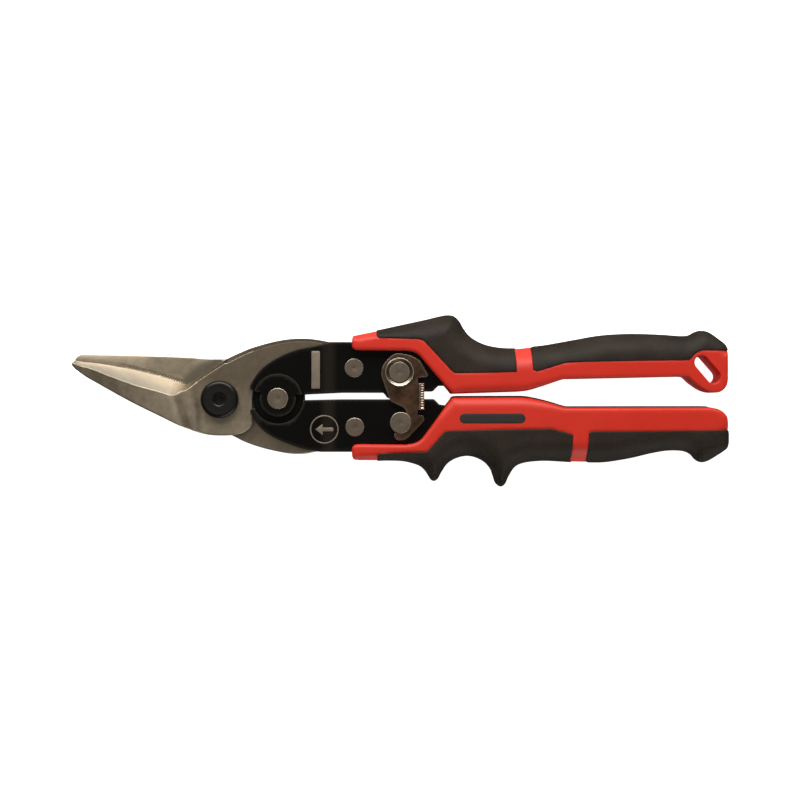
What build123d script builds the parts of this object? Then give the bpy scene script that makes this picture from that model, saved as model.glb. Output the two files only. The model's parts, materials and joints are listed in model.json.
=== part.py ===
from build123d import *
import os
from math import cos, radians, sin

# Compound-action aviation snips, closed and latched.
# Frame: the origin is on the main pivot axis, in the plane that the snips rest on. +X runs to the ends of
# the handles, +Y to the upper handle, and +Z out of the face that carries the bolt head and the latch.
# All sizes are in millimetres, and the jaws, tangs and handles are described from the shear plane.

# ---------------------------------------------------------------- driving dimensions
GRIP_HALF = 11.0        # half the width of a grip
SHEAR_Z = GRIP_HALF     # height of the plane in which the two blades slide on each other
RUN = 0.05              # running clearance on flat faces and around pivots

BLADE_OUT = 4.5         # outer face of a pivot plate or tang
JAW_OUT = 9.6           # outer face of a jaw at its thickest
PLATE_IN = 4.6          # inner face of a handle plate
PLATE_OUT = 7.1         # outer face of a handle plate
EYE_OUT = 8.35          # outer face of a raised eye
EYE_STEP = 5.85         # face on which a raised eye turns over a sunk one
EYE_IN = 3.35           # inner face of a sunk eye
LATCH_IN = 7.5          # latch plate, inner face
LATCH_OUT = 9.3         # latch plate, outer face
TAB_OUT = 15.0          # end of the latch's bent thumb tab

LINK_TILT = 0.75        # degrees, tilt of the linkage's centre line
BLADE_ARM = 52.35       # main pivot to tang rivet
TANG_ANGLE = 12.33      # degrees, tang rivet above or below the centre line
CENTRE_ARM = 22.23      # main pivot to the rivet that joins the two handles
BEVEL = 30.0            # degrees, slope of the bevel behind each cutting edge
TANG_PLAY = 0.25        # radial play at the upper tang rivet, which lets the linkage turn freely

BOLT_R = 4.0
BOLT_HEAD_R = 7.1
BOLT_HEAD_T = 3.4
BOLT_CHAMFER = 0.8
NUT_ACROSS = 13.0
SOCKET_ACROSS = 4.0
SOCKET_DEPTH = 2.6
WASHER_T = 1.0
WASHER_R = 7.5
EYE_R = 6.8             # eye of a handle around the centre rivet
JOGGLE_R = 9.5          # circle inside which the eyes are pressed out of the plates
EYE_BEVEL = 0.8         # height and width of the bevel round a raised eye's joggle
TANG_END_R = 7.0
RIVET_R = 3.0           # shank and head of the plain rivets, and thickness of the flush heads
RIVET_HEAD_R = 3.5
RIVET_HEAD_T = 1.0
CENTRE_RIVET_R = 3.3    # shank and head of the rivet that joins the handles
CENTRE_HEAD_R = 3.95
DIMPLE_R = 0.6
DIMPLE_DEPTH = 0.2
SPACER_R = 5.0          # spacers and sleeve between the plates
TANG_SPACER_R = 6.5     # spacers that carry the spring's legs beside the tangs
LATCH_HEAD_R = 4.0      # heads of the latch rivet and of the catch pin
LATCH_WASHER_R = 5.3
LATCH_WASHER_T = 0.6
LATCH_WASHER_LIP = 1.5  # top of the washer's raised rim above the latch plate
FRICTION_WASHER_R = 6.0
WIRE_R = 0.65
SPRING_R = 5.9
SPRING_TURNS = 3.525
SPRING_RISE = 4.7
SPINE_START = 47.5      # the folded spine of a handle starts here
FILL_START = 92.0       # the grip fills the handle's channel from here


def polar(radius, angle):
    """Point at a radius and an angle in degrees from the main pivot."""
    return (radius * cos(radians(angle)), radius * sin(radians(angle)))


MAIN = (0.0, 0.0)
CENTRE = polar(CENTRE_ARM, LINK_TILT)
UPPER_TANG = polar(BLADE_ARM, LINK_TILT + TANG_ANGLE)
LOWER_TANG = polar(BLADE_ARM, LINK_TILT - TANG_ANGLE)
LATCH = (68.2, 10.2)
CATCH = (68.6, -8.8)

# The tool is built from its face and from its back: on BACK, y and z run the other way.
FACE = Plane(origin=(0, 0, SHEAR_Z))
BACK = Plane(origin=(0, 0, SHEAR_Z), x_dir=(1, 0, 0), z_dir=(0, 0, -1))


def turned(point):
    """The same point seen from the back, where y runs the other way."""
    return (point[0], -point[1])


# ---------------------------------------------------------------- helpers
def outline(start, *runs):
    """Face bounded by runs of points: a run of one point is a line, a longer run is a smooth curve."""
    with BuildSketch() as sketch:
        with BuildLine():
            here = start
            for run in runs:
                if len(run) == 1:
                    Line(here, run[0])
                else:
                    Spline(here, *run)
                here = run[-1]
            if here != start:
                Line(here, start)
        make_face()
    return sketch.sketch


def disc(centre, radius):
    with BuildSketch() as sketch:
        with Locations(centre):
            Circle(radius)
    return sketch.sketch


def slab(side, shape, low, high, mode=Mode.ADD, taper=0.0):
    """Extrude a flat shape between two distances from the shear plane, on one side of the tool."""
    placed = shape.moved(side.location * Location((0, 0, low)))
    extrude(placed, amount=high - low, dir=side.z_dir, taper=taper, mode=mode)


def hole(side, centre, radius, low, high):
    slab(side, disc(centre, radius), low, high, mode=Mode.SUBTRACT)


def rivet(centre, shank_r, head_r, half_length):
    """Flush rivet through the whole tool: a shank and two flat heads with a shallow dimple."""
    slab(FACE, disc(centre, shank_r), -half_length, half_length)
    for side, place in ((FACE, centre), (BACK, turned(centre))):
        slab(side, disc(place, head_r), half_length - RIVET_HEAD_T, half_length)
        hole(side, place, DIMPLE_R, half_length - DIMPLE_DEPTH, half_length)


def cross_pin(centre, tail):
    """Shank and flush heads of the pin or rivet that the latch turns on or hooks over, up to its own tail."""
    slab(FACE, disc(centre, RIVET_R), -PLATE_OUT, tail)
    slab(FACE, disc(centre, RIVET_HEAD_R), -PLATE_OUT, -PLATE_OUT + RIVET_HEAD_T)
    slab(FACE, disc(centre, RIVET_HEAD_R), PLATE_OUT - RIVET_HEAD_T, PLATE_OUT)


def spacer(centre, inner_r, outer_r, low, high):
    slab(FACE, disc(centre, outer_r) - disc(centre, inner_r), low, high)


def write(part, name):
    os.makedirs("parts", exist_ok=True)
    part.label = name
    export_step(part, "parts/" + name + ".step")


# ---------------------------------------------------------------- blades
# A jaw is thin at its tip and thickest about 25 mm before the pivot, and then falls to the pivot plate.
JAW_PROFILE = ((-60.0, 0.9), (-49.3, 4.0), (-43.8, 6.1), (-37.9, 7.8), (-31.0, 9.05), (-25.0, JAW_OUT))
SHOULDER = ((-19.5, 9.3), (-16.6, 8.1), (-12.5, 5.9), (-8.0, BLADE_OUT))


def blade(side, plan, bevel_region, notch_region, centre_hole_r, tang_centre, tang_hole_r):
    """Forged blade: jaw, pivot plate and tang in one piece, bevelled behind its cutting edge."""
    slab(side, plan, RUN, JAW_OUT)
    with BuildSketch(Plane.XZ) as profile:
        with BuildLine():
            Line((-60.0, 0.0), JAW_PROFILE[0])
            Spline(*JAW_PROFILE, *SHOULDER, tangents=((1, 0.30), (1, 0)))
            Polyline(SHOULDER[-1], (70.0, BLADE_OUT), (70.0, 0.0), (-60.0, 0.0))
        make_face()
    reach = 60.0
    over = profile.sketch.moved(Location((0, reach, 0)))
    if side is BACK:
        over = Rot(180, 0, 0) * over
    over = over.moved(Location((0, 0, SHEAR_Z)))
    extrude(over, amount=2 * reach, dir=(0, -1, 0) if side is FACE else (0, 1, 0), mode=Mode.INTERSECT)
    slab(side, bevel_region, RUN, JAW_OUT + 1, mode=Mode.SUBTRACT, taper=-BEVEL)
    slab(side, notch_region, RUN, JAW_OUT + 1, mode=Mode.SUBTRACT, taper=-BEVEL / 2)
    hole(side, MAIN, centre_hole_r, 0, JAW_OUT)
    hole(side, tang_centre, tang_hole_r, 0, JAW_OUT)


def tang_tail(tang, inner_start):
    """Runs of the outline round the end of a tang and back along its inner edge to the pivot plate."""
    x, y = tang
    end = TANG_END_R
    return (
        [(x - 0.78 * end, y + 0.63 * end)],
        [(x - 0.2 * end, y + 0.98 * end), (x + 0.87 * end, y + 0.5 * end), (x + 0.5 * end, y - 0.87 * end),
         (x - 0.34 * end, y - 0.94 * end)],
        [(33.5, 9.6)],
        [(28.4, 9.2), (18.3, 9.3), (13.6, 5.0), inner_start],
    )


EDGE_END = (-12.6, 5.65)
front_edge = ((-55.1, 14.2), (-34.0, 11.35), EDGE_END)
front_plan = outline(
    (-55.9, 13.3),
    [(-55.1, 14.8)],
    [(-50.0, 15.6)],
    [(2.5, 15.2)],
    [(11.8, 19.3), (20.6, 21.8), (26.6, 22.8), (32.5, 23.0), (36.8, 22.6), (41.2, 21.8)],
    *tang_tail(UPPER_TANG, (12.45, 0.3)),
    [(12.45, -7.0)],
    [(11.0, -11.0), (7.7, -13.0), (2.3, -13.7), (-5.6, -13.2), (-14.6, -10.1)],
    [(-21.9, -6.8), (-34.0, -0.8), (-46.3, 6.0)],
    [(-55.8, 12.6)],
    [(-55.9, 13.3)],
)


def above_edge(edge, top, right):
    """Region beyond a cutting edge, which is an arc, out to a far box."""
    with BuildSketch() as sketch:
        with BuildLine():
            ThreePointArc(*edge)
            Polyline(edge[2], (right, top), (-80.0, top), (-80.0, edge[0][1] + 2.0), edge[0])
        make_face()
    return sketch.sketch


front_bevel = above_edge(front_edge, 50.0, EDGE_END[0])
front_notch = outline((-16.0, 8.0), [EDGE_END], [(-11.1, 6.3)], [(1.6, 14.8)], [(-4.0, 40.0)],
                      [(-16.0, 40.0)])
with BuildPart() as front_blade:
    blade(FACE, front_plan, front_bevel, front_notch, BOLT_R + RUN, UPPER_TANG, RIVET_R + TANG_PLAY)
write(front_blade.part, "front_blade")

BACK_EDGE_END = (-12.6, -4.4)
back_edge = ((-54.6, -13.5), (-34.0, -10.2), BACK_EDGE_END)
back_plan = outline(
    (-54.6, -14.2),
    [(-53.7, -16.2), (-52.0, -17.05), (-47.2, -17.0)],
    [(-26.5, -16.35), (2.5, -15.1)],
    [(7.7, -13.4), (11.0, -11.0), (12.45, -7.0)],
    [(12.45, -0.9)],
    [(13.6, 4.6), (18.3, 8.9), (28.4, 8.7), (33.5, 8.6)],
    [(LOWER_TANG[0] - 0.34 * TANG_END_R, -LOWER_TANG[1] - 0.94 * TANG_END_R)],
    [(LOWER_TANG[0] + 0.5 * TANG_END_R, -LOWER_TANG[1] - 0.87 * TANG_END_R),
     (LOWER_TANG[0] + 0.87 * TANG_END_R, -LOWER_TANG[1] + 0.5 * TANG_END_R),
     (LOWER_TANG[0] - 0.2 * TANG_END_R, -LOWER_TANG[1] + 0.98 * TANG_END_R),
     (LOWER_TANG[0] - 0.78 * TANG_END_R, -LOWER_TANG[1] + 0.63 * TANG_END_R)],
    [(40.0, 19.0)],
    [(36.5, 19.9), (29.6, 20.75), (22.3, 19.9), (15.0, 18.1), (4.6, 13.7)],
    [(-3.5, 12.6), (-9.5, 8.6), (-12.6, 2.0)],
    [BACK_EDGE_END],
    [(-16.0, -3.0)],
    [(-54.6, -12.0)],
)
back_bevel = above_edge(back_edge, 20.0, BACK_EDGE_END[0])
back_notch = outline((-16.0, -2.0), [BACK_EDGE_END], [(-12.6, 2.0)], [(-9.5, 8.6)], [(-16.0, 20.0)])
with BuildPart() as back_blade:
    blade(BACK, back_plan, back_bevel, back_notch, BOLT_R, turned(LOWER_TANG), RIVET_R + RUN)
write(back_blade.part, "back_blade")

# ---------------------------------------------------------------- main pivot
with BuildPart() as pivot_bolt:
    slab(FACE, disc(MAIN, BOLT_R), -GRIP_HALF, BLADE_OUT + RUN)
    head_top = BLADE_OUT + BOLT_HEAD_T
    slab(FACE, disc(MAIN, BOLT_HEAD_R), BLADE_OUT + RUN, head_top - BOLT_CHAMFER)
    slab(FACE, disc(MAIN, BOLT_HEAD_R), head_top - BOLT_CHAMFER, head_top, taper=45)
    with BuildSketch(FACE.offset(head_top)):
        RegularPolygon(SOCKET_ACROSS / 2, 6, major_radius=False)
    extrude(amount=-SOCKET_DEPTH, mode=Mode.SUBTRACT)
write(pivot_bolt.part, "pivot_bolt")

with BuildPart() as pivot_washer:
    spacer(MAIN, BOLT_R + 2 * RUN, WASHER_R, -BLADE_OUT - WASHER_T, -BLADE_OUT)
write(pivot_washer.part, "pivot_washer")

with BuildPart() as pivot_nut:
    with BuildSketch(Plane.XY):
        RegularPolygon(NUT_ACROSS / 2, 6, major_radius=False)
        Circle(BOLT_R, mode=Mode.SUBTRACT)
    extrude(amount=GRIP_HALF - BLADE_OUT - WASHER_T)
write(pivot_nut.part, "pivot_nut")


# ---------------------------------------------------------------- handle stampings
def handle_frame(side, plan, tongue_top, centre, tang, cross_rivet):
    """Folded stamping: two plates joined by a spine, one eye raised and the other sunk."""
    slab(side, plan, -PLATE_OUT, PLATE_OUT)
    slab(side, tongue_top, -PLATE_IN, PLATE_IN, mode=Mode.SUBTRACT)
    joggle = disc(centre, JOGGLE_R)
    lifted = disc(centre, JOGGLE_R - 0.1) & plan
    slab(side, disc(centre, JOGGLE_R + 0.2), PLATE_IN, EYE_STEP + RUN, mode=Mode.SUBTRACT)
    slab(side, joggle, -PLATE_OUT, -EYE_STEP, mode=Mode.SUBTRACT)
    slab(side, lifted, EYE_STEP + RUN, EYE_OUT - EYE_BEVEL)
    slab(side, disc(centre, JOGGLE_R - EYE_BEVEL) & plan, EYE_OUT - EYE_BEVEL, EYE_OUT)
    slab(side, disc(centre, EYE_R), EYE_STEP + RUN, EYE_OUT)
    slab(side, joggle, -EYE_STEP, -EYE_IN)
    for place in (tang, cross_rivet):
        hole(side, place, RIVET_R, -PLATE_OUT, PLATE_OUT)
        hole(side, place, RIVET_HEAD_R, PLATE_OUT - RIVET_HEAD_T, PLATE_OUT)
        hole(side, place, RIVET_HEAD_R, -PLATE_OUT, -PLATE_OUT + RIVET_HEAD_T)


def handle_plan(front, top, tongue, window, gap):
    return outline((13.0, 3.4), [(11.6, 3.7)], front, [top], *tongue, *window, *gap, [(22.2, gap[-1][0][1])],
                   [(15.2, 2.5)])


def channel(tongue_top):
    """What is cut from between the two plates: everything in front of and below the folded spine."""
    return outline((0.0, -15.0), [(0.0, 40.0)], [(SPINE_START, 40.0)], *tongue_top, [(180.0, -15.0)])


upper_plan = handle_plan(
    front=[(13.0, 7.7), (18.25, 13.5), (26.6, 18.0), (36.8, 20.5), (41.8, 21.7)],
    top=(84.0, 21.7),
    tongue=([(102.0, 15.5)], [(125.0, 16.0)], [(168.0, 19.0)], [(171.0, 17.5)], [(171.0, 12.0)],
            [(120.0, 7.5)], [(FILL_START, 4.8)]),
    window=([(87.8, 1.95)], [(85.4, 5.16)], [(82.9, 5.16)], [(80.7, 2.96)]),
    gap=([(63.0, 2.48)], [(46.0, 2.48)], [(31.8, 1.8)]),
)
upper_channel = channel(([(SPINE_START, 19.2)], [(83.0, 19.2)], [(101.2, 13.0)], [(125.0, 13.5)],
                         [(180.0, 17.4)]))
with BuildPart() as upper_handle_frame:
    handle_frame(FACE, upper_plan, upper_channel, CENTRE, UPPER_TANG, LATCH)
    hole(FACE, CENTRE, CENTRE_RIVET_R + RUN, -EYE_OUT, EYE_OUT)
    hole(FACE, CENTRE, CENTRE_HEAD_R + RUN, EYE_OUT - RIVET_HEAD_T - RUN, EYE_OUT)
write(upper_handle_frame.part, "upper_handle_frame")

lower_plan = handle_plan(
    front=[(13.6, 8.4), (16.5, 11.8), (26.6, 17.1), (35.9, 19.6)],
    top=(84.0, 19.9),
    tongue=([(94.0, 18.5)], [(120.0, 18.0)], [(168.0, 15.5)], [(171.0, 13.5)], [(171.0, 7.5)],
            [(130.0, 6.0)], [(FILL_START, 2.6)]),
    window=([(88.4, -1.1)], [(85.9, 2.31)], [(83.2, 1.97)], [(81.2, -0.08)]),
    gap=([(63.0, 0.0)], [(46.0, 0.0)], [(31.8, 0.3)]),
)
lower_channel = channel(([(SPINE_START, 17.6)], [(83.5, 17.6)], [(94.0, 16.0)], [(120.0, 15.5)],
                         [(180.0, 12.3)]))
with BuildPart() as lower_handle_frame:
    handle_frame(BACK, lower_plan, lower_channel, turned(CENTRE), turned(LOWER_TANG), turned(CATCH))
    hole(FACE, CENTRE, CENTRE_RIVET_R, -EYE_OUT, EYE_OUT)
    hole(FACE, CENTRE, CENTRE_HEAD_R, -EYE_OUT, -EYE_OUT + RIVET_HEAD_T)
write(lower_handle_frame.part, "lower_handle_frame")

# ---------------------------------------------------------------- rivets, spacers and spring
with BuildPart() as centre_rivet:
    rivet(CENTRE, CENTRE_RIVET_R, CENTRE_HEAD_R, EYE_OUT)
write(centre_rivet.part, "centre_rivet")

with BuildPart() as upper_tang_rivet:
    rivet(UPPER_TANG, RIVET_R, RIVET_HEAD_R, PLATE_OUT)
write(upper_tang_rivet.part, "upper_tang_rivet")

with BuildPart() as lower_tang_rivet:
    rivet(LOWER_TANG, RIVET_R, RIVET_HEAD_R, PLATE_OUT)
write(lower_tang_rivet.part, "lower_tang_rivet")

with BuildPart() as upper_tang_spacer:
    spacer(UPPER_TANG, RIVET_R, TANG_SPACER_R, -PLATE_IN, -RUN)
write(upper_tang_spacer.part, "upper_tang_spacer")

with BuildPart() as lower_tang_spacer:
    spacer(LOWER_TANG, RIVET_R, TANG_SPACER_R, RUN, PLATE_IN)
write(lower_tang_spacer.part, "lower_tang_spacer")

with BuildPart() as spring_sleeve:
    spacer(CENTRE, CENTRE_RIVET_R, SPACER_R, -EYE_IN + RUN, EYE_IN)
write(spring_sleeve.part, "spring_sleeve")

# The spring pushes the handles apart: each leg leaves the coil along its tangent and bears on a tang spacer.
LEG_LENGTH = 28.5
COIL_TURN = 87.0        # degrees, where the upper leg leaves the coil
with BuildPart() as wound_spring:
    with BuildLine() as route:
        coil = Helix(SPRING_RISE / SPRING_TURNS, SPRING_RISE, SPRING_R)
        leg_tip = (coil @ 0) - (coil % 0) * LEG_LENGTH
        Line(coil @ 0, leg_tip)
        Line(coil @ 1, (coil @ 1) + (coil % 1) * LEG_LENGTH)
    with BuildSketch(Plane(leg_tip, z_dir=coil % 0)):
        Circle(WIRE_R)
    sweep(path=route.line)
torsion_spring = wound_spring.part.moved(Location((*CENTRE, SHEAR_Z - SPRING_RISE / 2), (0, 0, COIL_TURN)))
write(torsion_spring, "torsion_spring")

# ---------------------------------------------------------------- latch
latch_plan = outline(
    (68.25, 17.3),
    [(73.8, 16.2), (76.1, 14.4)],
    [(78.9, 9.2)],
    [(78.4, 8.3)],
    [(75.5, 8.2)],
    [(75.1, 7.7)],
    [(75.1, 6.0)],
    [(77.4, 6.0)],
    [(77.4, -3.9)],
    [(75.1, -4.1)],
    [(75.1, -5.9)],
    [(77.0, -6.1)],
    [(77.5, -7.1)],
    [(77.4, -8.3)],
    [(71.7, -14.3)],
    [(70.2, -15.3), (67.9, -15.4), (66.1, -13.8), (66.2, -12.75)],
    [(68.6, -12.95), (72.3, -10.7), (72.6, -7.8), (70.9, -5.2)],
    [(69.4, -3.0)],
    [(65.1, -1.0)],
    [(64.2, 0.5)],
    [(61.4, 8.3)],
    [(61.3, 10.0), (64.2, 15.55), (68.25, 17.3)],
)
tab_plan = outline((75.6, 6.0), [(77.4, 6.0)], [(77.4, -3.9)], [(75.6, -3.9)])
with BuildPart() as latch_plate:
    slab(FACE, latch_plan, LATCH_IN, LATCH_OUT)
    slab(FACE, tab_plan, LATCH_IN, TAB_OUT)
    hole(FACE, LATCH, RIVET_R + RUN, LATCH_IN, LATCH_OUT)
write(latch_plate.part, "latch_plate")

with BuildPart() as latch_rivet:
    cross_pin(LATCH, LATCH_OUT + LATCH_WASHER_T)
    slab(FACE, disc(LATCH, LATCH_HEAD_R), LATCH_OUT + LATCH_WASHER_T, LATCH_OUT + 1.4)
write(latch_rivet.part, "latch_rivet")

with BuildPart() as latch_washer:
    spacer(LATCH, RIVET_R, LATCH_WASHER_R, LATCH_OUT + RUN, LATCH_OUT + LATCH_WASHER_T)
    rim_r = LATCH_HEAD_R + 0.2
    spacer(LATCH, rim_r, LATCH_WASHER_R, LATCH_OUT + LATCH_WASHER_T, LATCH_OUT + LATCH_WASHER_LIP)
write(latch_washer.part, "latch_washer")

with BuildPart() as latch_friction_washer:
    spacer(LATCH, RIVET_R, FRICTION_WASHER_R, PLATE_OUT, LATCH_IN - RUN)
write(latch_friction_washer.part, "latch_friction_washer")

with BuildPart() as latch_spacer:
    spacer(LATCH, RIVET_R, SPACER_R, -PLATE_IN, PLATE_IN)
write(latch_spacer.part, "latch_spacer")

# The pin ends just under the latch plate, whose hook closes over it.
with BuildPart() as catch_pin:
    cross_pin(CATCH, PLATE_OUT)
    slab(FACE, disc(CATCH, LATCH_HEAD_R), PLATE_OUT, LATCH_IN - RUN)
write(catch_pin.part, "catch_pin")

with BuildPart() as catch_spacer:
    spacer(CATCH, RIVET_R, SPACER_R, -PLATE_IN, PLATE_IN)
write(catch_spacer.part, "catch_spacer")

# ---------------------------------------------------------------- grips
PAD_T = 2.2             # thickness of the soft pads over the core


def grip_body(plan):
    """Solid with the grip's whole outline and thickness."""
    with BuildPart() as body:
        slab(FACE, plan, -GRIP_HALF, GRIP_HALF)
    return body.part


def pad(body, region, under):
    """Soft overmould: the part of the grip inside a region, less the core under it."""
    slab(FACE, region, -GRIP_HALF, GRIP_HALF)
    add(body, mode=Mode.INTERSECT)
    slab(FACE, under, -GRIP_HALF + PAD_T, GRIP_HALF - PAD_T, mode=Mode.SUBTRACT)


def core(body, regions, under, frame, low_y, high_y):
    """Hard core: the whole grip, less what the soft pads cover and the space for the handle stamping."""
    add(body)
    for region in regions:
        slab(FACE, region - under, -GRIP_HALF, GRIP_HALF, mode=Mode.SUBTRACT)
        slab(FACE, region & under, GRIP_HALF - PAD_T, GRIP_HALF, mode=Mode.SUBTRACT)
        slab(FACE, region & under, -GRIP_HALF, -GRIP_HALF + PAD_T, mode=Mode.SUBTRACT)
    mouth = outline((40.0, low_y), [(40.0, high_y)], [(FILL_START, high_y)], [(FILL_START, low_y)])
    slab(FACE, mouth, -PLATE_OUT, PLATE_OUT, mode=Mode.SUBTRACT)
    add(frame, mode=Mode.SUBTRACT)


HANG_SLOT = ((182.7, 14.0), (187.3, 8.65))
HANG_SLOT_R = 2.3
with BuildSketch() as hang_slot:
    for end in HANG_SLOT:
        with Locations(end):
            Circle(HANG_SLOT_R)
    make_hull()

upper_grip_plan = outline(
    (50.1, 23.9),
    [(59.3, 25.8)],
    [(79.0, 30.1)],
    [(86.1, 31.6), (90.5, 29.55), (94.9, 23.3), (104.7, 19.5), (118.3, 19.8), (133.6, 22.1), (152.9, 24.5),
     (174.7, 23.7)],
    [(180.0, 25.3), (185.4, 25.5), (189.2, 23.3), (193.1, 18.7)],
    [(193.1, 8.2)],
    [(191.7, 3.95), (187.8, 2.5), (182.6, 4.5), (177.7, 8.3)],
    [(132.6, 7.8)],
    [(121.5, 4.7), (114.6, 3.0)],
    [(88.0, 2.1)],
    [(75.6, 16.5)],
    [(73.4, 17.9), (70.6, 18.4)],
    [(52.3, 18.7)],
    [(50.3, 19.5)],
) - hang_slot.sketch
upper_front_region = outline(
    (59.4, 40.0), [(59.5, 23.6)], [(75.6, 22.8)], [(77.8, 21.7)], [(88.8, 9.9)], [(112.7, 10.4)],
    [(112.2, 19.3)], [(112.2, 40.0)])
upper_rear_region = outline(
    (118.2, 40.0), [(118.3, 19.8)], [(118.8, 10.5)], [(131.1, 13.9)], [(178.8, 15.0)], [(183.9, 18.6)],
    [(200.0, 18.7)], [(200.0, 40.0)])
upper_under = outline(
    (58.0, 15.0), [(58.0, 22.6)], [(78.0, 26.5)], [(87.0, 27.5)], [(94.0, 20.5)], [(104.0, 17.2)],
    [(120.0, 17.4)], [(150.0, 21.5)], [(176.0, 21.2)], [(186.0, 22.0)], [(189.0, 15.0)], [(178.0, 13.0)],
    [(115.0, 9.0)], [(88.0, 9.0)], [(76.0, 21.0)])
upper_body = grip_body(upper_grip_plan)
with BuildPart() as upper_grip_core:
    upper_regions = (upper_front_region, upper_rear_region)
    core(upper_body, upper_regions, upper_under, upper_handle_frame.part, 0.0, 21.7)
write(upper_grip_core.part, "upper_grip_core")
with BuildPart() as upper_grip_front_pad:
    pad(upper_body, upper_front_region, upper_under)
write(upper_grip_front_pad.part, "upper_grip_front_pad")
with BuildPart() as upper_grip_rear_pad:
    pad(upper_body, upper_rear_region, upper_under)
write(upper_grip_rear_pad.part, "upper_grip_rear_pad")

lower_grip_plan = outline(
    (50.2, -18.3),
    [(51.7, -17.0)],
    [(70.6, -17.2)],
    [(74.5, -16.1), (77.9, -13.3)],
    [(88.5, 1.2)],
    [(114.9, 1.3)],
    [(123.0, -0.3), (131.1, -2.6)],
    [(186.3, -2.5)],
    [(190.2, -4.0), (192.8, -6.4), (193.3, -9.1)],
    [(193.3, -16.8)],
    [(192.4, -19.0), (188.2, -21.9), (182.9, -23.7)],
    [(178.6, -20.7), (169.9, -19.2), (155.4, -22.1), (139.4, -23.7), (121.5, -23.0), (114.2, -24.0),
     (109.1, -29.2)],
    [(106.5, -32.6), (103.9, -29.4)],
    [(100.3, -23.6), (93.6, -21.2), (86.5, -23.9), (82.9, -29.0)],
    [(81.2, -30.7), (79.2, -29.0)],
    [(75.8, -25.0), (70.6, -23.3)],
    [(52.3, -23.1)],
    [(50.6, -22.0)],
)
lower_front_region = outline(
    (59.8, -40.0), [(59.8, -20.6)], [(77.9, -20.0)], [(85.5, -12.1)], [(125.1, -11.15)], [(134.0, -13.5)],
    [(133.4, -40.0)])
lower_rear_region = outline((139.4, -40.0), [(139.8, -12.2)], [(200.0, -11.7)], [(200.0, -40.0)])
lower_under = outline(
    (57.0, -15.0), [(57.0, -21.3)], [(80.0, -22.0)], [(93.0, -19.5)], [(120.0, -20.4)], [(150.0, -20.5)],
    [(176.0, -17.2)], [(188.0, -17.5)], [(190.0, -9.0)], [(86.0, -9.0)], [(78.0, -18.0)])
lower_body = grip_body(lower_grip_plan)
with BuildPart() as lower_grip_core:
    lower_regions = (lower_front_region, lower_rear_region)
    core(lower_body, lower_regions, lower_under, lower_handle_frame.part, -19.9, 2.0)
write(lower_grip_core.part, "lower_grip_core")
with BuildPart() as lower_grip_front_pad:
    pad(lower_body, lower_front_region, lower_under)
write(lower_grip_front_pad.part, "lower_grip_front_pad")
with BuildPart() as lower_grip_rear_pad:
    pad(lower_body, lower_rear_region, lower_under)
write(lower_grip_rear_pad.part, "lower_grip_rear_pad")
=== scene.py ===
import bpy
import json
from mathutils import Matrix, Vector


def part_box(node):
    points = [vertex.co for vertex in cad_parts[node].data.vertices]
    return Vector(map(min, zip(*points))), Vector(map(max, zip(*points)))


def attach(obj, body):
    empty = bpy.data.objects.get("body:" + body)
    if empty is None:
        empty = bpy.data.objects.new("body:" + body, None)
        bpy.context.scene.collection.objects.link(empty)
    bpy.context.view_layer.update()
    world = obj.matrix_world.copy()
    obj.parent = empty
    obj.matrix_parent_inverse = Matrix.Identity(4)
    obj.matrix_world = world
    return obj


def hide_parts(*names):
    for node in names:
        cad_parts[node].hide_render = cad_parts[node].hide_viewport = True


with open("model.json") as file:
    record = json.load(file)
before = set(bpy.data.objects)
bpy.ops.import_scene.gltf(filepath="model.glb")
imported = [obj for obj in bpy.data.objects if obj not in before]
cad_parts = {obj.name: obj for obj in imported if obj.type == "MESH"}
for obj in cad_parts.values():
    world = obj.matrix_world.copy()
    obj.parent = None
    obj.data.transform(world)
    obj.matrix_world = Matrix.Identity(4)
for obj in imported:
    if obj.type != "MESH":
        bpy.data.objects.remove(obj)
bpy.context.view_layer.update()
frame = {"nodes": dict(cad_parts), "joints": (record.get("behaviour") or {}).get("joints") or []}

import json
import math

import bpy
import numpy as np
from mathutils import Vector
from mathutils.geometry import delaunay_2d_cdt
from mathutils.kdtree import KDTree

# Aviation snips lying on their back. Shapes are described in millimetres, in the row frame's x and y, with
# heights measured from the shear plane; everything built is scaled to metres.
MM = 0.001
JOINTS = {joint["name"]: joint for joint in frame["joints"]}


def joint_place(name):
    return tuple(v / MM for v in JOINTS[name]["pos_m"])


def node_place(name):
    low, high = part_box(name)
    return ((low.x + high.x) / 2 / MM, (low.y + high.y) / 2 / MM)


SHEAR = joint_place("blades_open")[2]
MAIN = joint_place("blades_open")[:2]
CENTRE = joint_place("handle_open")[:2]
LATCH = joint_place("latch_swing")[:2]
UPPER_TANG = node_place("upper_tang_rivet")
LOWER_TANG = node_place("lower_tang_rivet")
CATCH = node_place("catch_pin")
PLATE_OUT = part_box("upper_tang_rivet")[1].z / MM - SHEAR
GRIP_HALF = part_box("upper_grip_core")[1].z / MM - SHEAR
LATCH_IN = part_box("latch_plate")[0].z / MM - SHEAR
TAB_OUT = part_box("latch_plate")[1].z / MM - SHEAR
PLATE_T = 2.5
EYE_LIFT = 1.25
RUN = 0.05
FRONT, REAR = 1, -1     # side of the shear plane; on the rear side y runs the other way too


# The photo was measured at one scale, which is right at this height above the rest plane; what lies lower or
# higher is seen a little smaller or larger, about the middle of the view.
VIEW_MIDDLE = np.array((68.36, -0.27))
VIEW_DISTANCE = 600.0
VIEW_PLANE = 16.0


def seen(line, height):
    """Where a line really is that was measured in the view and lies at this height above the rest plane."""
    scale = (VIEW_DISTANCE + VIEW_PLANE - np.asarray(height, float)) / VIEW_DISTANCE
    return VIEW_MIDDLE + (np.array(line, float) - VIEW_MIDDLE) * np.reshape(scale, (-1, 1))


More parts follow.
